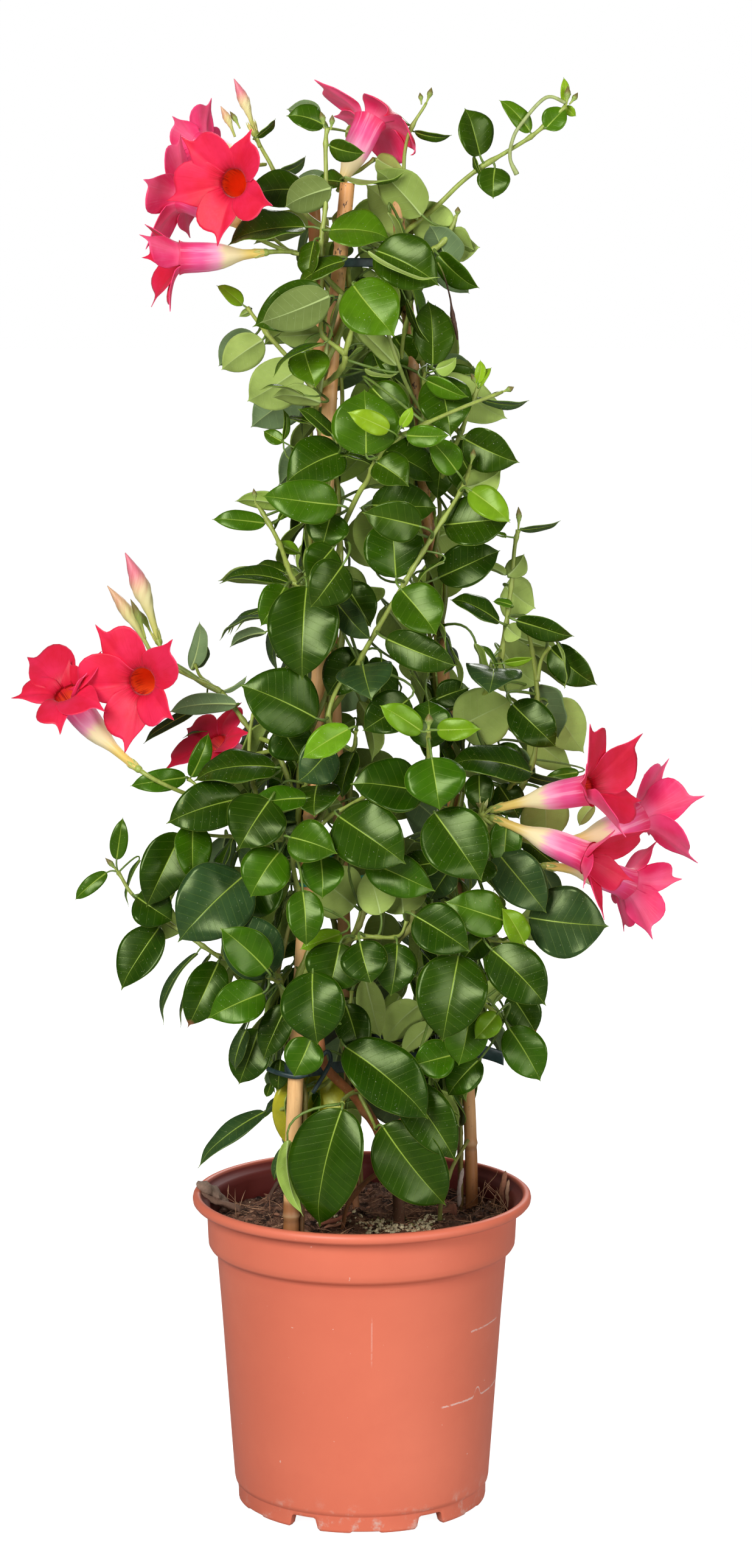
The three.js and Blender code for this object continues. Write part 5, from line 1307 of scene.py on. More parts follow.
shoot("right_shield", "right", 380, [
    [(56, 400, -16), (50, 420, -66), (46, 430, -98)],
    [(56, 400, -16), (70, 412, -36), (86, 414, -50)],
], [
    (45, 431, -104, 74, 389, -118, 40), (83, 407, -62, 114, 369, -72, 30, 0, 5),
    (89, 427, -58, 87, 395, -64, 20, 0, 1), (76, 402, -84, 73, 387, -90, 16),
    (55, 397, -68, 42, 377, -72, 20, 10, 5), (48, 400, -78, 18, 393, -84, 20, 30),
])
shoot("bottom_left", "front", 238, [
    [(-34, 252, -54), (-22, 262, -44), (-16, 268, -36)],
    [(-34, 252, -54), (-48, 246, -40), (-56, 245, -26)],
], [
    (-60, 244, -20, -103, 210, -30, 16, 35, 5), (-20, 273, -30, -48, 221, -36, 42, 0, 4),
    (-56, 262, -35, -59, 253, -35, 6, 0, 1), (-47, 222, -60, -55, 200, -60, 8, 20, 5),
])
shoot("bottom", "trunk", 250, [
    [(-2, 256, -52), (-11, 252, -70), (-12, 249, -82)],
    [(-2, 256, -52), (6, 240, -58), (9, 233, -68)],
    [(-2, 256, -52), (-4, 280, -56), (-8, 296, -62), (-6, 320, -54)],
    [(-2, 256, -52), (14, 262, -56), (32, 270, -52)],
], [
    (-12, 246, -86, -28, 169, -84, 46, 17), (-46, 226, -84, -38, 178, -80, 14, 150, 1),
    (13, 235, -72, 53, 184, -78, 41), (-10, 285, -80, 42, 240, -92, 38, -10),
    (25, 262, -66, 59, 212, -76, 30), (36, 312, -22, 13, 288, -26, 24, 150, 3),
    (-10, 312, -66, -1, 280, -76, 22), (2, 328, -44, 11, 290, -50, 18, 160, 3),
    (-31, 290, -94, -42, 266, -98, 24, 0, 1), (45, 264, -50, 60, 240, -52, 6, 50, 3),
])
SHOOT_R = 1.75
BROWNED = {(92, 318): 0.8, (-88, 338): 0.9, (-72, 440): 0.5, (25, 262): 0.4}


# %% Building a shoot
def host_point(host):
    """Where a shoot leaves its cane's thick stem, or the trunk, at a height."""
    name, z = host
    if name != "trunk":
        return vine_at(name, float(z))
    line = spline(sight(TRUNK), 14)
    return line[np.argmin(np.abs(line[:, 2] - z))]


def stem_bar(pile, line, thick, leaf_bases):
    """A stem that thins to 60 % along its way, swollen near each leaf and fresher green at its tip."""
    share = np.linspace(0, 1, len(line))[:, None]
    swell = np.zeros(len(line))
    for base in leaf_bases:
        gap = norm(line - base, axis=1)
        if gap.min() < 25:
            way = np.cumsum(norm(np.diff(line, axis=0, prepend=line[:1]), axis=1))
            swell = np.maximum(swell, hump(way - way[gap.argmin()], 2.2))
    ribs = lambda turn, part: 1 + 0.04 * np.sin(3 * turn + 40 * part)
    tint = blend(stem_tint(line[:, 2] + 120), YOUNG, 0.35 + 0.5 * share)
    tube(pile, line, thick * (1 - 0.4 * share[:, 0]) + 0.55 * swell, 8, ribs=ribs, tint=tint)


def make_shoot(host, stems, leaves):
    """A shoot's stems and its leaves' stalks in one pile, and its leaf blades in another."""
    wood, foliage = Pile(), Pile()
    lines = []
    for i, places in enumerate(stems):
        points = sight(places)
        if i == 0:
            points = np.vstack([host_point(host), points])
        lines.append(spline(points, 9))
    rows = [(sight(row[:3]), sight(row[3:6]), *row[6:]) for row in leaves]
    joints = np.vstack(lines)[8:]
    starts = [joints[np.argmin(norm(joints - base, axis=1))] for base, *_ in rows]
    for i, line in enumerate(lines):
        stem_bar(wood, line, SHOOT_R if i == 0 else 0.8 * SHOOT_R, starts)
    for row, start, source in zip(rows, starts, leaves):
        base, tip, width, roll, age = row
        petiole(wood, start, base, tip, age, 0.6 if width < 14 else 0.85)
        blade(foliage, base, tip, width, roll, FRONT, age, brown=BROWNED.get(source[:2], 0.0))
    return wood, foliage


def shoot_pieces(name, wood, foliage):
    """Two pieces of a shoot, stems and leaves, that stand for the shoot's solid together."""
    piece(f"{name}_stem", wood, [green_stem], [name])
    piece(f"{name}_leaves", foliage, [leaf_top, leaf_under], [name])


for name, parts in SHOOTS.items():
    shoot_pieces(f"shoot_{name}", *make_shoot(*parts))
print(len(SHOOTS), "shoots,", sum(len(leaves) for _, _, leaves in SHOOTS.values()), "leaves,",
      sum(made.values()), "triangles so far")

# %% [markdown]
# ## The back and the sides
#
# The plant is leafy all round. Its back is a second layer of shoots: each dense shoot of the front has a
# twin at the same height on the back canes, mirrored in depth, with leaves of its own chance shape.
# Between the layers, leaves that face sideways fill the flanks.

# %% Back and side foliage
ALONE = ["bud_spray", "top_middle", "long_right", "right_thin", "flower_arm", "bottom_left"]
LAST = ["top_leader", "pale_top", "left_arm"]
TWINS = [name for name in SHOOTS if name not in ALONE + LAST] + LAST
BACK = FRONT * [1, -1, 1]
BACK_ZONES = [  # node, lowest height, on the right
    ("shoot_back_top", 610, None), ("shoot_back_high", 480, None),
    ("shoot_back_mid_right", 350, True), ("shoot_back_mid_left", 350, False),
    ("shoot_back_low_right", 0, True), ("shoot_back_low_left", 0, False),
]
MOST_BACK = 112


def zone_of(point):
    """The back shoot that foliage at a point belongs to."""
    for node, low, right in BACK_ZONES:
        if point[2] >= low and (right is None or right == (point[0] > 5)):
            return node
    return BACK_ZONES[-1][0]


def mirrored(places):
    """Elevation places at the opposite depth, no deeper than the plant's back."""
    places = np.array(places, float)
    places[:, 2] = np.minimum(-places[:, 2] * 0.95 + 6, MOST_BACK - 8)
    return places


zones = {node: (Pile(), Pile()) for node, _, _ in BACK_ZONES}
zones["shoot_side_right"] = (Pile(), Pile())
all_joints = []
for name in TWINS:
    _, stems, leaves = SHOOTS[name]
    lines = []
    for i, places in enumerate(stems):
        points = sight(mirrored(places))
        if i == 0:
            candidates = np.vstack([vine_at(cane, np.arange(170.0, 780.0, 6)) for cane in ("back", "right")])
            below = np.abs(candidates[:, 2] - (points[0, 2] - 14)) < 12
            gaps = norm(candidates - points[0], axis=1) + 1e3 * ~below
            points = np.vstack([candidates[gaps.argmin()], points])
        lines.append(spline(points, 9))
    joints = np.vstack(lines)[8:]
    all_joints.append(joints)
    for i, line in enumerate(lines):
        stem_bar(zones[zone_of(line[len(line) // 2])][0], line, 1.7 if i == 0 else 1.4, joints[::18])
    for row in leaves:
        if row[6] < 12:
            continue
        aside = [draw(-11, 11), draw(-15, 12), draw(-7, 7)]
        base, tip = sight(mirrored([row[:3], row[3:6]]) * [0.9, 1, 1] + aside)
        base, tip = np.array([base, tip]) + [0, 0, max(0.0, 206 - tip[2])]
        roll = float(np.clip(-row[7] if row[7] < 90 else 180 - row[7], -40, 40)) + draw(-14, 14)
        start = joints[np.argmin(norm(joints - base, axis=1))]
        wood, foliage = zones[zone_of((base + tip) / 2)]
        age = int(chance.choice([0, 0, 0, 1, 5]))
        petiole(wood, start, base, tip, age)
        facing = BACK + [base[0] / 55 + draw(-0.5, 0.5), 0, 0]
        blade(foliage, base, tip, row[6], roll, facing, age)

side_count = 0
stem_points = np.vstack(all_joints + [vine_at(cane, np.arange(200.0, 700.0, 8)) for cane in CANES])


def hang(place, ahead, length, at_side, reach, lowest, ages, facing, share, roll, coarse=True):
    """Hangs a leaf about a place from the nearest stem, unless that is out of reach or the tip too low.

    Facing and share are called for the way of its upper face and for its width as a share of its length.
    """
    base, tip = place - ahead * length / 2, place + ahead * length / 2
    gaps = norm(stem_points - base, axis=1)
    if gaps.min() > reach or tip[2] < lowest:
        return 0
    wood, foliage = zones["shoot_side_right" if at_side else zone_of(place)]
    age = int(chance.choice(ages))
    petiole(wood, stem_points[gaps.argmin()], base, tip, age)
    upper = facing()
    blade(foliage, base, tip, length * share(), draw(-roll, roll), upper, age, coarse=coarse)
    return 1


for _, _, leaves in SHOOTS.values():
    for row in leaves:
        base, tip = sight([row[:3], row[3:6]])
        middle = (base + tip) / 2
        if row[6] < 22 or not 235 < middle[2] < 640 or abs(middle[0]) < 30 or row[7] > 100:
            continue
        hand = math.copysign(1, middle[0])
        turn, drop = draw(-0.9, 0.9), draw(-1.25, -0.35)
        ahead = unit([0.25 * hand, math.sin(turn), drop])
        place = [middle[0] * 0.94, draw(-42, 46), middle[2] + 4]
        side_count += hang(place, ahead, 0.82 * float(norm(tip - base)), hand > 0 and middle[2] < 420,
                           reach=48, lowest=0, ages=[0, 0, 1, 5], roll=12, coarse=False, share=lambda: 0.62,
                           facing=lambda: np.array([hand * 0.95, draw(-0.35, 0.35), 0.35]))

# %% Leaves inside the plant
MASS = np.array([  # height, leftmost and rightmost leaf, how crowded
    (228, -46, 52, 0.5), (262, -74, 74, 1), (300, -88, 84, 1.3), (350, -96, 88, 1.3), (400, -92, 92, 1.3),
    (450, -80, 86, 1.2), (500, -62, 72, 0.7), (560, -56, 60, 0.5), (620, -46, 46, 0.5), (690, -36, 36, 0.4),
    (750, -30, 38, 0.3),
])
INNER, FLANK = 130, 150


def crowded_height(spread):
    """A chance height, oftener where leaves are crowded, and the plant's left and right edge there."""
    z = float(chance.choice(MASS[:, 0], p=MASS[:, 3] / MASS[:, 3].sum()) + draw(-spread, spread))
    return z, *(float(np.interp(z, MASS[:, 0], MASS[:, k])) for k in (1, 2))


def inner_leaf():
    """A leaf at a chance place in the mass, its face turned outwards."""
    z, left, right = crowded_height(28)
    x = draw(left + 8, right - 8)
    aside = (x - (left + right) / 2) * 2 / (right - left)
    deep = 0.5 * (right - left) * math.sqrt(max(0.05, 1 - aside**2))
    place = sight([x, z, draw(-0.6, 0.95) * deep])
    outward = unit([place[0], place[1] + 12, 0])
    lean = [draw(-0.5, 0.5), draw(-0.3, 0.3), -draw(0.3, 1.1)]
    hang(place, unit(0.55 * outward + lean), draw(30, 46), place[0] > 35 and 270 < z < 400,
         reach=42, lowest=205, ages=[0, 0, 0, 1, 5], roll=15, share=lambda: draw(0.55, 0.72),
         facing=lambda: outward + [draw(-0.5, 0.5), draw(-0.5, 0.5), draw(0.2, 0.9)])


def flank_leaf(hand):
    """A leaf near one flank that faces sideways: it gives the plant its body when seen from the side."""
    z, left, right = crowded_height(26)
    edge = right if hand > 0 else -left
    place = sight([hand * edge * draw(0.4, 0.86), z, draw(-0.65, 0.9) * min(edge, 78)])
    ahead = unit([0.2 * hand, draw(-0.8, 0.8), -draw(0.4, 1.2)])
    hang(place, ahead, draw(36, 52), place[0] > 35 and 270 < z < 400,
         reach=46, lowest=206, ages=[0, 0, 1, 1], roll=15, share=lambda: draw(0.58, 0.72),
         facing=lambda: np.array([hand, draw(-0.4, 0.4), draw(0.1, 0.6)]))


for _ in range(INNER):
    inner_leaf()
for k in range(FLANK):
    flank_leaf(1 if k % 2 else -1)
for name, (wood, foliage) in zones.items():
    shoot_pieces(name, wood, foliage)
print(side_count, "side leaves;", sum(made.values()), "triangles so far")

# %% [markdown]
# ## Flowers
#
# A mandevilla's flower is a funnel: a thin cream neck, a pink bell with white streaks, an orange throat and
# five crimson petals. Each petal is a pinwheel blade: its leading edge runs out to a point, its trailing edge
# is a broad bulge. So a petal's outline is written as reach against turn, and a grid fills it from the
# throat outwards. How a petal opens is written once, as its lean from the axis at each distance: a cup
# stands forward, a curl falls back. Petals are separate shells, so their edges overlap as on the plant.

# %% Petals
PETAL_EDGE = np.array([
    (-60, 0.38), (-56, 0.45), (-51, 0.53), (-45, 0.62), (-38, 0.71), (-31, 0.775), (-25, 0.81), (-19, 0.825),
    (-14, 0.82), (-9.5, 0.81), (-6, 0.82), (-3.5, 0.86), (-1.6, 0.93), (-0.2, 1.0), (0.7, 0.955), (2, 0.87),
    (4.5, 0.79), (8.5, 0.72), (14, 0.65), (21, 0.57), (28, 0.49), (34, 0.4),
])
THROAT_R = 8.0


def flower_frame(direction):
    """A flower's right, up and facing ways; up is as near upright as it can be."""
    axis = unit(direction)
    up = unit(AXES[2] - axis * axis[2])
    return np.cross(up, axis), up, axis


def petal(pile, ways, mouth, tip_turn, reach, curl, cup):
    """One petal. On every line out from the throat, s mm along it, the lean from the axis in degrees is

    (90 - cup)(1 - exp(-s / 5)) + 42 curl (s / reach)^2; the sums of its sine and cosine give the distance
    from the axis and the height. A crease at the tip, an overlap tilt, ruffles and a rolled edge add to it.
    """
    right, up, axis = ways
    s = np.linspace(0, 1.3 * reach, 100)
    open_to = 90 - cup - draw(-8, 8)
    curl = curl + draw(-0.25, 0.25) * (1 + curl)
    lean = np.radians(open_to * (1 - np.exp(-s / 5)) + 42 * curl * (s / reach) ** 2)
    outward, ahead = THROAT_R + np.cumsum(np.sin(lean)) * s[1], np.cumsum(np.cos(lean)) * s[1] - 6
    turn = PETAL_EDGE[::-1, 0][None, :] + draw(-2, 2)
    v = np.linspace(0, 1, 16)[:, None] ** 0.85
    long = PETAL_EDGE[::-1, 1][None, :] * reach * draw(0.96, 1.04) + 3.5 - THROAT_R
    run = long * v
    share = (run + THROAT_R - 3.5 * v) / reach
    start = draw(0, 2 * np.pi)
    middle = (turn + 13) / 47
    height = np.interp(run, s, ahead) - 1.4 * middle * share + 0.8 * np.sin(2.2 * middle + start) * share**2
    height = height + 0.045 * reach * share**3 * np.sin(5.5 * middle + 2 * start)
    height = height - 1.1 * hump(turn + 1, 6) * share * smooth(v, 0, 0.3)
    height = height - draw(-0.4, 1.6) * v**7 * smooth(np.abs(middle), 0.2, 0.9)
    angle = np.radians(tip_turn + turn - 7 * curl * share**3)
    flat = np.cos(angle)[..., None] * right + np.sin(angle)[..., None] * up
    top = mouth + flat * np.interp(run, s, outward)[..., None] + height[..., None] * axis
    under = top - 0.45 * normals(top)
    rows, cols = share.shape
    mark = columns(share, turn / 60, draw(0, 9))
    edge = columns(long * (1 - v), middle, share)
    pile.add(np.vstack([top.reshape(-1, 3), under.reshape(-1, 3)]), shell_faces(rows, cols, 0, 1, 1),
             np.vstack([mark, mark]), np.vstack([edge, edge]))


# How far behind the mouth, and radius: outside from the neck to the lip, then back down the inside
BELL = np.array([
    (46, 2.7), (41, 3.2), (37, 4.3), (33, 5.9), (29, 7.2), (25, 8.0), (20, 8.6), (14, 8.9), (9, 9.0),
    (6, 9.2), (4.4, 9.7), (3.5, 10.2), (3.3, 10.3), (3.7, 9.8), (4.8, 9.2), (6.4, 8.6), (9, 8.4), (16, 8.1),
    (23, 7.5), (28, 6.4), (32, 5.0), (36, 3.4), (40, 2.2), (46, 1.5),
])
SLIM = np.array([2.0, 2.3, 2.5, 2.5, 2.6])
LIP_RING = 17


def funnel(pile, ways, neck, mouth):
    """The tube: its profile carried along a curve that leaves the neck and meets the mouth along the axis."""
    right, up, axis = ways
    line = bezier(neck, mouth - 0.5 * norm(mouth - neck) * axis, mouth, 60)
    steps = norm(np.diff(line, axis=0), axis=1)
    behind = np.concatenate([np.cumsum(steps[::-1])[::-1], [0]])
    stretch = [max(0.0, behind[0] / 57 - 1), 0]
    bell = BELL + stretch * np.maximum(0, BELL[:, :1] - 9)
    slim = np.stack([np.linspace(behind[0], bell[0, 0] + 2, len(SLIM)), SLIM], -1)
    profile = np.vstack([slim, bell])
    read = lambda table: np.stack([np.interp(-profile[:, 0], -behind, column) for column in table.T], -1)
    ahead = unit(read(np.gradient(line, axis=0)))
    across = unit(right - ahead * dot(ahead, right))
    ribs = lambda turn, share: 1 + 0.03 * np.cos(5 * turn + 4 * share)
    along = np.concatenate([slim[:, :1], BELL[:, :1]]) * [1.0, 0, 0]
    rings(pile, read(line), across, np.cross(ahead, across), profile[:, 1], 30, slot=2, inner_from=LIP_RING,
          ribs=ribs, extra=along)


def calyx(pile, ways, base, spread=1.6):
    """Five narrow sepals that hug the foot of the tube, and the knob they sit on."""
    right, up, axis = ways
    for k in range(5):
        turn = 2 * np.pi * (k + 0.3) / 5
        way = right * math.cos(turn) + up * math.sin(turn)
        root = base + 1.9 * way - 0.6 * axis
        blade(pile, root, root + 8.5 * axis + spread * way, 2.4, 0, way, 6, fold=6, bow=-0.03, thick=0.35)
    knob = base + np.linspace(-2.4, 2.2, 6)[:, None] * axis
    rings(pile, knob, right, up, [1.1, 1.9, 2.3, 2.4, 2.3, 2.0], 10, slot=2, tint=YOUNG)


# %% [markdown]
# Petals are velvety: crimson with darker veins that fan out from the throat, and pinker on the back. The
# tube is cream at the neck and pink with white streaks above; the throat glows orange red with dark lines.

# %% Petal finishes
def petal_finish(name, front):
    """Crimson, or pink on the back, with fanned veins and a paler rim; a sheen all over.

    Both faces glow a little, the back more: painted light that stands for the light that comes through the
    petal.
    """
    glow = 0.02 if front else 0.09
    f = Finish(name, Sheen_Weight=0.1, Sheen_Roughness=0.4, Specular_IOR_Level=0.3, Emission_Strength=glow)
    share, turn, seed = f.split("mark")
    edge, _, _ = f.split("extra")
    fan = f.noise(1.0, 3, 0.6, f.join(turn * 26, share * 2.2, seed))
    cloud = f.noise(60, 3, 0.55, f.place())
    fine = f.noise(900, 3, 0.6, f.place())
    near = share.ramp(0.42, 0.2)
    if front:
        base = f.mix(cloud.ramp(0.3, 0.7), rgb(221, 22, 55), rgb(233, 37, 80))
        base = f.mix(fan.ramp(0.5, 0.8) * 0.35, base, rgb(200, 6, 40))
        lines = f.noise(1.0, 2, 0.6, f.join(turn * 60, share, seed)).ramp(0.4, 0.6)
        base = f.mix(near * lines, base, rgb(176, 8, 30))
        base = f.mix(edge.ramp(1.0, 0.1) * 0.25, base, rgb(250, 70, 100))
    else:
        base = f.mix(cloud.ramp(0.3, 0.7), rgb(230, 38, 94), rgb(240, 66, 122))
        base = f.mix(fan.ramp(0.5, 0.85) * 0.25, base, rgb(248, 150, 182))
        base = f.mix(near * 0.35, base, rgb(244, 140, 176))
        base = f.mix(abs(turn + 0.1).ramp(0.4, 0.02) * 0.15, base, rgb(250, 170, 194))
    f.set(Base_Color=base, Roughness=0.44 + 0.14 * fine, Emission_Color=base)
    f.bump(0.35 * fan + 0.2 * fine + 0.4 * cloud, 0.3, 0.0006)
    return f.material


def tube_finish():
    """Yellow neck, cream where it widens, then pink and deeper pink, white streaks along it, and a glow of
    painted light.
    """
    # painted light: the tube glows in its own colours, standing for light that comes through its wall
    f = Finish("flower_tube", Sheen_Weight=0.1, Sheen_Roughness=0.4, Emission_Strength=0.16)
    turn, _, _ = f.split("mark")
    behind, _, _ = f.split("extra")
    round_it = (turn * (2 * math.pi)).math("SINE"), (turn * (2 * math.pi)).math("COSINE")
    streak = f.noise(3.4, 3, 0.6, f.join(round_it[0], round_it[1], behind * 0.008))
    off = behind + 9 * (streak - 0.5)
    base = f.mix(off.ramp(46, 34), rgb(218, 188, 98), rgb(232, 214, 166))
    base = f.mix(off.ramp(31, 24), base, rgb(238, 150, 182))
    base = f.mix(off.ramp(26, 15), base, rgb(228, 78, 136))
    base = f.mix(off.ramp(14, 4), base, rgb(222, 44, 98))
    base = f.mix(streak.ramp(0.54, 0.72) * off.ramp(32, 20) * 0.3, base, rgb(252, 190, 212))
    base = f.mix(streak.ramp(0.48, 0.34) * off.ramp(28, 14) * 0.4, base, rgb(222, 50, 106))
    f.set(Base_Color=base, Roughness=0.42 + 0.15 * streak, Emission_Color=base)
    f.bump(streak, 0.3, 0.0004)
    return f.material


def throat_finish():
    """Orange red with dark red lines at its edge; a faint glow stands for the light its wall lets in."""
    f = Finish("flower_throat", Roughness=0.5, Emission_Strength=0.07)
    turn, _, _ = f.split("mark")
    behind, _, _ = f.split("extra")
    line = f.noise(1.0, 2, 0.6, f.join(turn * 34, behind * 0.04, 3.0))
    base = f.mix(behind.ramp(4.5, 13), rgb(222, 26, 44), rgb(244, 92, 32))
    base = f.mix(line.ramp(0.46, 0.58) * behind.ramp(26, 9) * 0.8, base, rgb(158, 12, 26))
    f.set(Base_Color=base, Emission_Color=base)
    f.bump(line, 0.3, 0.0004)
    return f.material


flower_finishes = [petal_finish("petal_front", True), petal_finish("petal_back", False), tube_finish(),
                   throat_finish()]
stalk_finishes = [leaf_top, leaf_under, green_stem]

# %% [markdown]
# The twelve open flowers stand in three groups: at the top, at the left and at the right.
# Each is written as its stalk's start, the neck of its tube (0 for a straight tube of 57 mm), its mouth and
# the way it faces, then its petals: the turn of the tip, its reach, its curl and its cup. One flower has two
# more small petals, which stand rolled in its middle.

# %% Twelve flowers
def five(turn, reach, curl, cup):
    """Five petals alike, a fifth of a turn apart."""
    return [(turn + 72 * k, reach, curl, cup) for k in range(5)]


FLOWERS = [
    ("top_front", (-46, 806, -6), (-71, 801, -10), (-78, 811, -60), (-0.42, -0.9, 0),
     [(140, 40, 0.1, 14), (64, 37, 0.1, 28), (-26, 36, 0.1, 18), (262, 39, 0.1, 14), (194, 43, 0.1, 12)]),
    ("top_behind", (-57, 822, 0), (-74, 823, -16), (-97, 832, 14), (-0.76, 0.6, 0.16),
     five(38, 30, 0.2, 15)),
    ("top_left", (-38, 769, -30), (-65, 781, -34), (-108, 804, -14), (-0.84, 0.42, 0.28),
     five(12, 38, 0.2, 12)),
    ("top_side", (-38, 770, -32), (-57, 770, -36), (-112, 767, -46), (-0.99, -0.1, 0),
     [(30, 36, 0, 44), (120, 32, 0, 50), (180, 34, 0, 40), (240, 38, 0, 32), (292, 34, 0.2, 6)]),
    ("crown", (-14, 806, 0), (-11, 812, 2), (7, 850, 12), (0.4, 0.4, 0.82),
     [(58, 40, 0.1, 0), (-6, 38, 0.3, 0), (295, 42, 2.8, -6), (232, 44, 2.7, -4), (168, 40, 2.1, 2)]),
    ("left_front", (-108, 517, -22), 0, (-135, 511, -62), (-0.34, -0.94, -0.05),
     [(129, 43, 0.1, 14), (48, 42, 0.1, 16), (-38, 38, 0, 24), (264, 44, 0.1, 14), (186, 45, 0.1, 12)]),
    ("left_outer", (-100, 440, -56), (-136, 458, -62), (-181, 508, -52), (-0.35, -0.5, 0.79),
     [(345, 38, 0.1, -4), (62, 31, 0, 12), (156, 45, 0, 10), (206, 33, 0, 2), (300, 35, 0.2, -8),
      (104, 22, 0.6, 44), (26, 22, 0.6, 52)]),
    ("left_shaded", (-67, 483, -33), (-70, 462, -20), (-92, 476, -14), (-0.5, -0.5, 0.7),
     five(20, 32, 0.5, 0)),
    ("right_upper", (72, 430, -58), (80, 433, -60), (143, 446, -84), (0.87, -0.43, 0.2),
     [(112, 44, 0, 12), (40, 47, 0, 36), (-22, 42, 0, 18), (238, 45, 0, 42), (166, 30, 0, 16)]),
    ("right_lower", (72, 430, -58), (80, 428, -58), (142, 402, -80), (0.85, -0.42, -0.3),
     [(52, 42, 0, 38), (-22, 37, 0, 50), (-92, 40, 0, 38), (206, 31, 0, 26), (128, 34, 0, 28)]),
    ("right_back", (72, 430, -58), (118, 412, -50), (173, 430, -26), (0.8, 0.45, 0.35),
     [(108, 41, 0, 52), (168, 45, 0, 38), (232, 42, 0, 20), (40, 37, 0, 50), (315, 36, 0, 40)]),
    ("right_under", (72, 430, -58), (112, 398, -50), (165, 386, -36), (0.72, 0.54, -0.44),
     [(78, 38, 0, 26), (158, 37, 0, 30), (228, 39, 0, 28), (292, 34, 0, 36), (8, 34, 0, 40)]),
]


def make_flower(name, start, neck, mouth, direction, petals):
    """A flower piece of petals and tube, and a stalk piece of pedicel and calyx."""
    ways = flower_frame(direction)
    mouth = sight(mouth)
    neck = sight(neck) if neck else mouth - 57 * ways[2]
    bloom, stalk = Pile(), Pile()
    for shape in petals:
        petal(bloom, ways, mouth, *shape)
    funnel(bloom, ways, neck, mouth)
    piece(name, bloom, flower_finishes, [name])
    start = sight(start)
    lead = unit(mouth - 0.5 * norm(mouth - neck) * ways[2] - neck)
    line = bezier(start, neck - 0.4 * norm(start - neck) * lead, neck - 1.5 * lead, 16)
    share = np.linspace(0, 1, len(line))
    tube(stalk, line, 1.25 + 0.35 * share**3, 8, slot=2, tint=blend(STEM, YOUNG, 0.8))
    calyx(stalk, flower_frame(lead), neck)
    piece(f"{name}_stalk", stalk, stalk_finishes, [name])


for name, *shape in FLOWERS:
    make_flower(f"flower_{name}", *shape)
print(len(FLOWERS), "flowers; the crown flower has", made["flower_crown"], "triangles")

# %% [markdown]
# ## Buds
#
# A bud is the next flower still furled: five petals wound round each other, cream at the foot and flushed
# pink to brown at the twisted point. One round bar does it, with five ribs that turn as they climb.

# %% Buds, spent flower and spent stalk
BUDS = [  # name, stalk start, root, tip, width
    ("bud_top_left", (-60, 832, 0), (-63, 840, 0), (-75.5, 872, -4), 7),
    ("bud_left", (-120, 527, -18), (-123, 536, -14), (-143, 590, -18), 11.5),
]
SMALL_BUDS = [  # root, tip and width: furled buds and the green knots of bud clusters
    (-75, 838, 2, -83.5, 856, 0, 5), (-72, 843, 2, -78, 853, 4, 3.4), (-128, 530, -16, -154, 570, -14, 8),
    (-131, 538, -18, -140, 562, -22, 4.5), (-127, 540, -10, -136, 556, -8, 4.2),
    (-22, 843, -30, -24, 853, -30, 4), (-18, 842, -30, -17, 851, -32, 3.4), (39, 858, 6, 42, 867, 5, 3.6),
    (36, 857, 8, 35, 864, 9, 3), (9, 651, -86, 9, 668, -88, 4.2), (14, 654, -88, 18, 665, -90, 3.8),
    (6, 650, -84, 3, 660, -86, 3.2), (41, 482, -98, 41, 492, -100, 5), (57, 790, 0, 58, 797, -2, 3.6),
    (66, 643, -58, 68, 653, -58, 3.6), (71, 691, -32, 73, 700, -32, 4), (70, 690, -34, 66, 698, -36, 3.4),
    (85, 687, -56, 92, 690, -58, 3.6), (95, 604, -18, 95, 618, -18, 3.6),
    (-149, 394, -20, -157, 403, -20, 3.4), (-64, 620, -10, -65, 629, -10, 3), (122, 856, 0, 123, 868, 0, 4),
    (124, 857, 2, 129, 864, 3, 3.4), (78, 432, -58, 70, 437, -60, 4),
]
CREAM, FLUSH = rgb(242, 236, 172), rgb(230, 128, 142)


def bud(pile, root, tip, width, colours):
    """A spindle with five ribs that turn 1.3 times: slim foot, widest at 60 %, drawn to a point."""
    s = np.linspace(0, 1, 26)
    path = root + s[:, None] * (tip - root) + 0.03 * np.sin(3 * s[:, None]) * np.cross(tip - root, FRONT)
    shape = np.interp(s, [0, 0.14, 0.3, 0.42, 0.52, 0.6, 0.7, 0.82, 0.93, 1],
                      [0.3, 0.32, 0.42, 0.66, 0.9, 1, 0.9, 0.6, 0.26, 0.06])
    ribs = lambda turn, share: 1 + 0.06 * np.cos(5 * (turn - 8 * share)) * np.sin(np.pi * share)
    foot, middle, point = colours
    tint = blend(blend(foot, middle, smooth(s, 0.15, 0.5)[:, None]), point, smooth(s, 0.5, 0.8)[:, None])
    tube(pile, path, width / 2 * shape, 20, ribs=ribs, tint=tint)


def bud_finish():
    """The bar's own tints with streaks along the furled petals."""
    f = Finish("bud", Sheen_Weight=0.1)
    turn, _, along = f.split("mark")
    tint = f.tint()
    streak = f.noise(1.0, 3, 0.6, f.join((turn - 1.3 * along) * 16, along * 3, 0.0))
    pink = f.mix(1.0, tint, rgb(236, 176, 178), "MULTIPLY")
    base = f.mix(streak.ramp(0.4, 0.75) * along.ramp(0.4, 0.75) * 0.7, tint, pink)
    f.set(Base_Color=base, Roughness=0.42 + 0.15 * streak)
    f.bump(streak, 0.3, 0.0004)
    return f.material


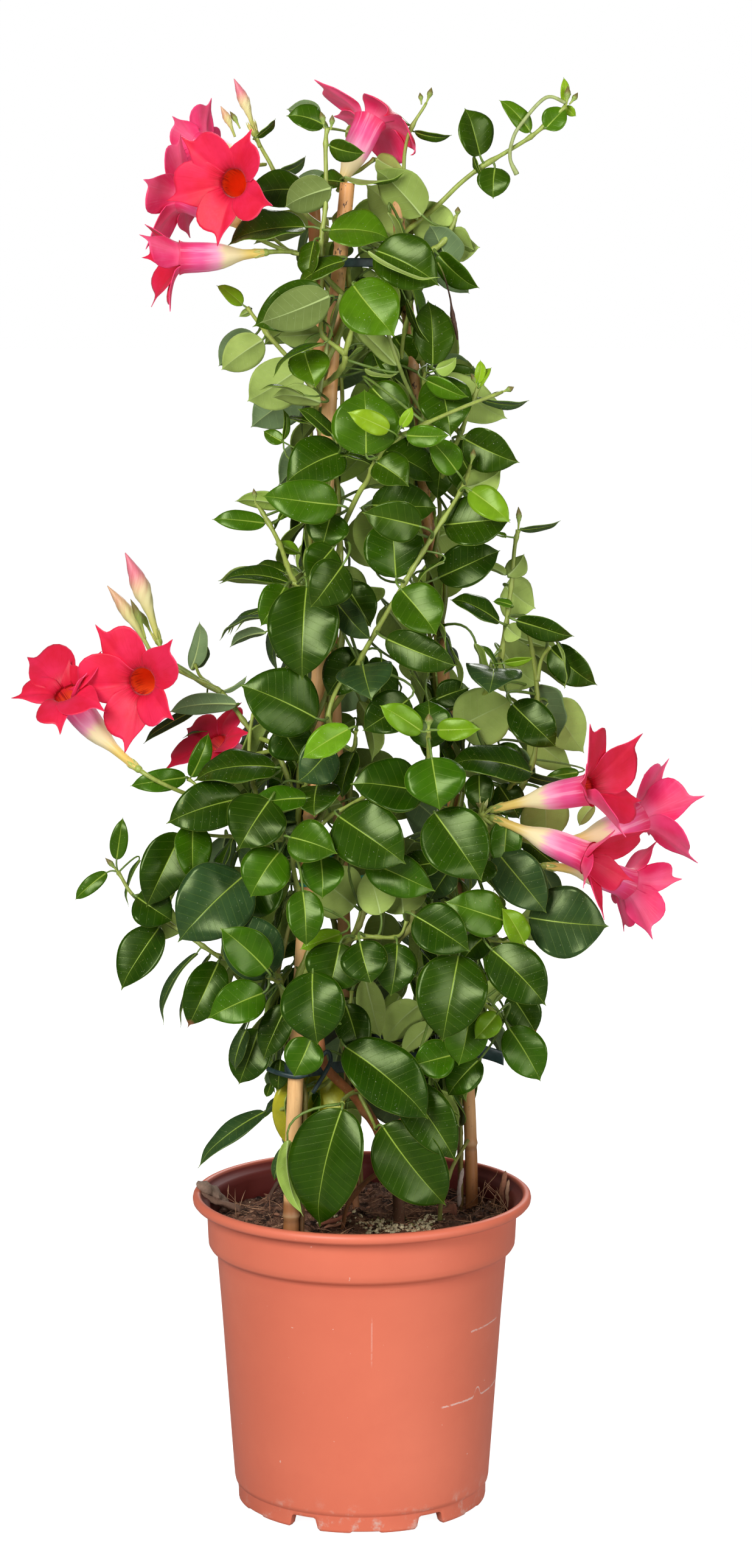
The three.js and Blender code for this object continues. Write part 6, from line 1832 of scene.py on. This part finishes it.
furled = bud_finish()
GREEN_BUD = (YOUNG, rgb(150, 176, 84), rgb(120, 112, 50))
LONG_BUD = (rgb(176, 190, 96), rgb(226, 224, 150), rgb(218, 176, 134))
for name, start, root, tip, width in BUDS:
    start, root, tip = sight(start), sight(root), sight(tip)
    closed = Pile()
    bud(closed, root, tip, width, (rgb(206, 208, 112), CREAM, FLUSH))
    piece(name, closed, [furled], [name])
    stalk = Pile()
    line = bezier(start, (start + root) / 2 + [0, -1, 0], root + 0.06 * (tip - root))
    tube(stalk, line, 1.3, 8, slot=2, tint=YOUNG)
    calyx(stalk, flower_frame(tip - root), root)
    piece(f"{name}_stalk", stalk, stalk_finishes, [name])
clusters = Pile()
for *ends, width in SMALL_BUDS:
    long = width > 4.6 and ends[0] < -60
    bud(clusters, *sight([ends[:3], ends[3:]]), width, LONG_BUD if long else GREEN_BUD)
piece("bud_clusters", clusters, [furled], [])
old = Pile()
root = sight((74, 431, -60))
calyx(old, flower_frame(sight((80, 442, -62)) - root), root, 4.5)
piece("empty_calyx", old, stalk_finishes, [])

SPENT = rgb(96, 62, 52)
spent = Pile()
line = spline(sight([(46, 764, -14), (49, 758, -18), (53, 745, -22), (55, 733, -22), (58, 718, -22)]), 10)
share = np.linspace(0, 1, len(line))
ribs = lambda turn, part: 1 + 0.2 * np.sin(4 * turn + 30 * part) + 0.1 * np.sin(9 * turn - 20 * part)
tube(spent, line, 0.45 + 0.95 * hump(share - 0.8, 0.13), 12, ribs=ribs,
     tint=blend(YOUNG, SPENT, smooth(share[:, None], 0.1, 0.4)))
piece("spent_flower", spent, [woody_stem], [])
LOOSE = [  # places, radius, swelling at the tip, tint
    ([(122, 858, 0), (110, 861, -2), (95, 845, -4), (90, 835, -4), (89, 825, -2), (93, 816, 0)], 1.1, 0.5,
     rgb(176, 190, 120)),
    ([(-12, 745, -46), (-20, 715, -44), (-25, 684, -46)], 1.2, 0, rgb(160, 176, 96)),
    ([(15, 725, -60), (22, 705, -56), (28, 690, -40), (36, 676, -28)], 1.2, 0, rgb(150, 170, 84)),
    ([(-128, 531, -18), (-107, 518, -22), (-95, 510, -24), (-85, 505, -26)], 1.7, 0, rgb(136, 160, 74)),
]
curved = Pile()
for places, thick, swell, tint in LOOSE:
    line = spline(sight(places), 9)
    tube(curved, line, thick + swell * smooth(np.linspace(0, 1, len(line)), 0.8, 1), 8, tint=tint)
piece("loose_stalks", curved, [green_stem], [])
print("buds:", made["bud_left"], made["bud_clusters"], "triangles;", len(made), "pieces in all,",
      sum(made.values()), "triangles")

# %% [markdown]
# ## Setting
#
# A plain white floor that runs out of sight, an even white surround, one broad soft lamp from the upper left,
# a second from the right and one from behind to draw the leaves' edges. The camera stands 2.2 m away at the
# height of the plant's top, looking a little down.

# %% Floor, lamps and camera
def make_floor():
    """A disc of 30 m at floor level: a polar grid of four rings."""
    turn = bearings(64)
    rims = np.array([1, 800, 4000, 30000])[:, None]
    points = np.stack([rims * np.cos(turn), rims * np.sin(turn), 0 * rims * turn], -1)
    pile = Pile()
    faces = [(weave(4, 64, wrap=True)[:, ::-1], 0, True), (fans(4, 64)[0][:, ::-1], 0, True)]
    pile.add(np.vstack([points.reshape(-1, 3), [[0, 0, 0]]]), faces)
    return mesh_of("floor", pile)


paper = Finish("white_paper", Roughness=0.9, Emission_Color=rgb(255, 255, 255))
paper.set(Base_Color=paper.mix(paper.noise(3, 2, 0.5) * 0.1, rgb(172, 172, 172), rgb(166, 166, 168)))
paper.set(Emission_Strength=paper.node("ShaderNodeLightPath") * 0.95)
floor = add_object("floor", make_floor())
floor.data.materials.append(paper.material)

SURROUND = 0.14
world = bpy.data.worlds.new("surround")
world.use_nodes = True
tree = world.node_tree
dim = tree.nodes["Background"]
bright = tree.nodes.new("ShaderNodeBackground")
seen = tree.nodes.new("ShaderNodeLightPath")
either = tree.nodes.new("ShaderNodeMixShader")
for backdrop, strength in ((dim, SURROUND), (bright, 1.0)):
    backdrop.inputs[0].default_value = (1, 1, 1, 1)
    backdrop.inputs[1].default_value = strength
tree.links.new(seen.outputs["Is Camera Ray"], either.inputs[0])
tree.links.new(dim.outputs[0], either.inputs[1])
tree.links.new(bright.outputs[0], either.inputs[2])
tree.links.new(either.outputs[0], tree.nodes["World Output"].inputs[0])
scene.world = world
scene.view_settings.view_transform = "Standard"


def lamp(name, place, aim, size, watts):
    """A square soft lamp that looks at a point."""
    light = bpy.data.lights.new(name, "AREA")
    light.shape, light.size, light.energy = "SQUARE", size, watts
    thing = add_object(name, light)
    way = unit(np.array(aim) - np.array(place))
    thing.location = place
    thing.rotation_euler = (math.acos(-way[2]), 0, math.atan2(way[0], -way[1]) + math.pi)


lamp("key", (-1.0, -2.2, 1.6), (0, 0, 0.4), 1.1, 62)
lamp("fill", (1.7, -1.9, 0.7), (0, 0, 0.35), 1.2, 25)
lamp("rim", (0.6, 2.2, 2.0), (0, 0, 0.5), 1.3, 34)

PICTURE_H, FOCAL_PX, SENSOR, PITCH = 2576, 5980, 36, 8.18
camera = bpy.data.cameras.new("camera")
camera.sensor_width = SENSOR
camera.lens = SENSOR * FOCAL_PX / PICTURE_H
eye = add_object("camera", camera)
eye.location = EYE / 1000
eye.rotation_euler = (math.radians(90 - PITCH), 0, 0)
scene.camera = eye
print("lens", round(camera.lens, 1), "mm")
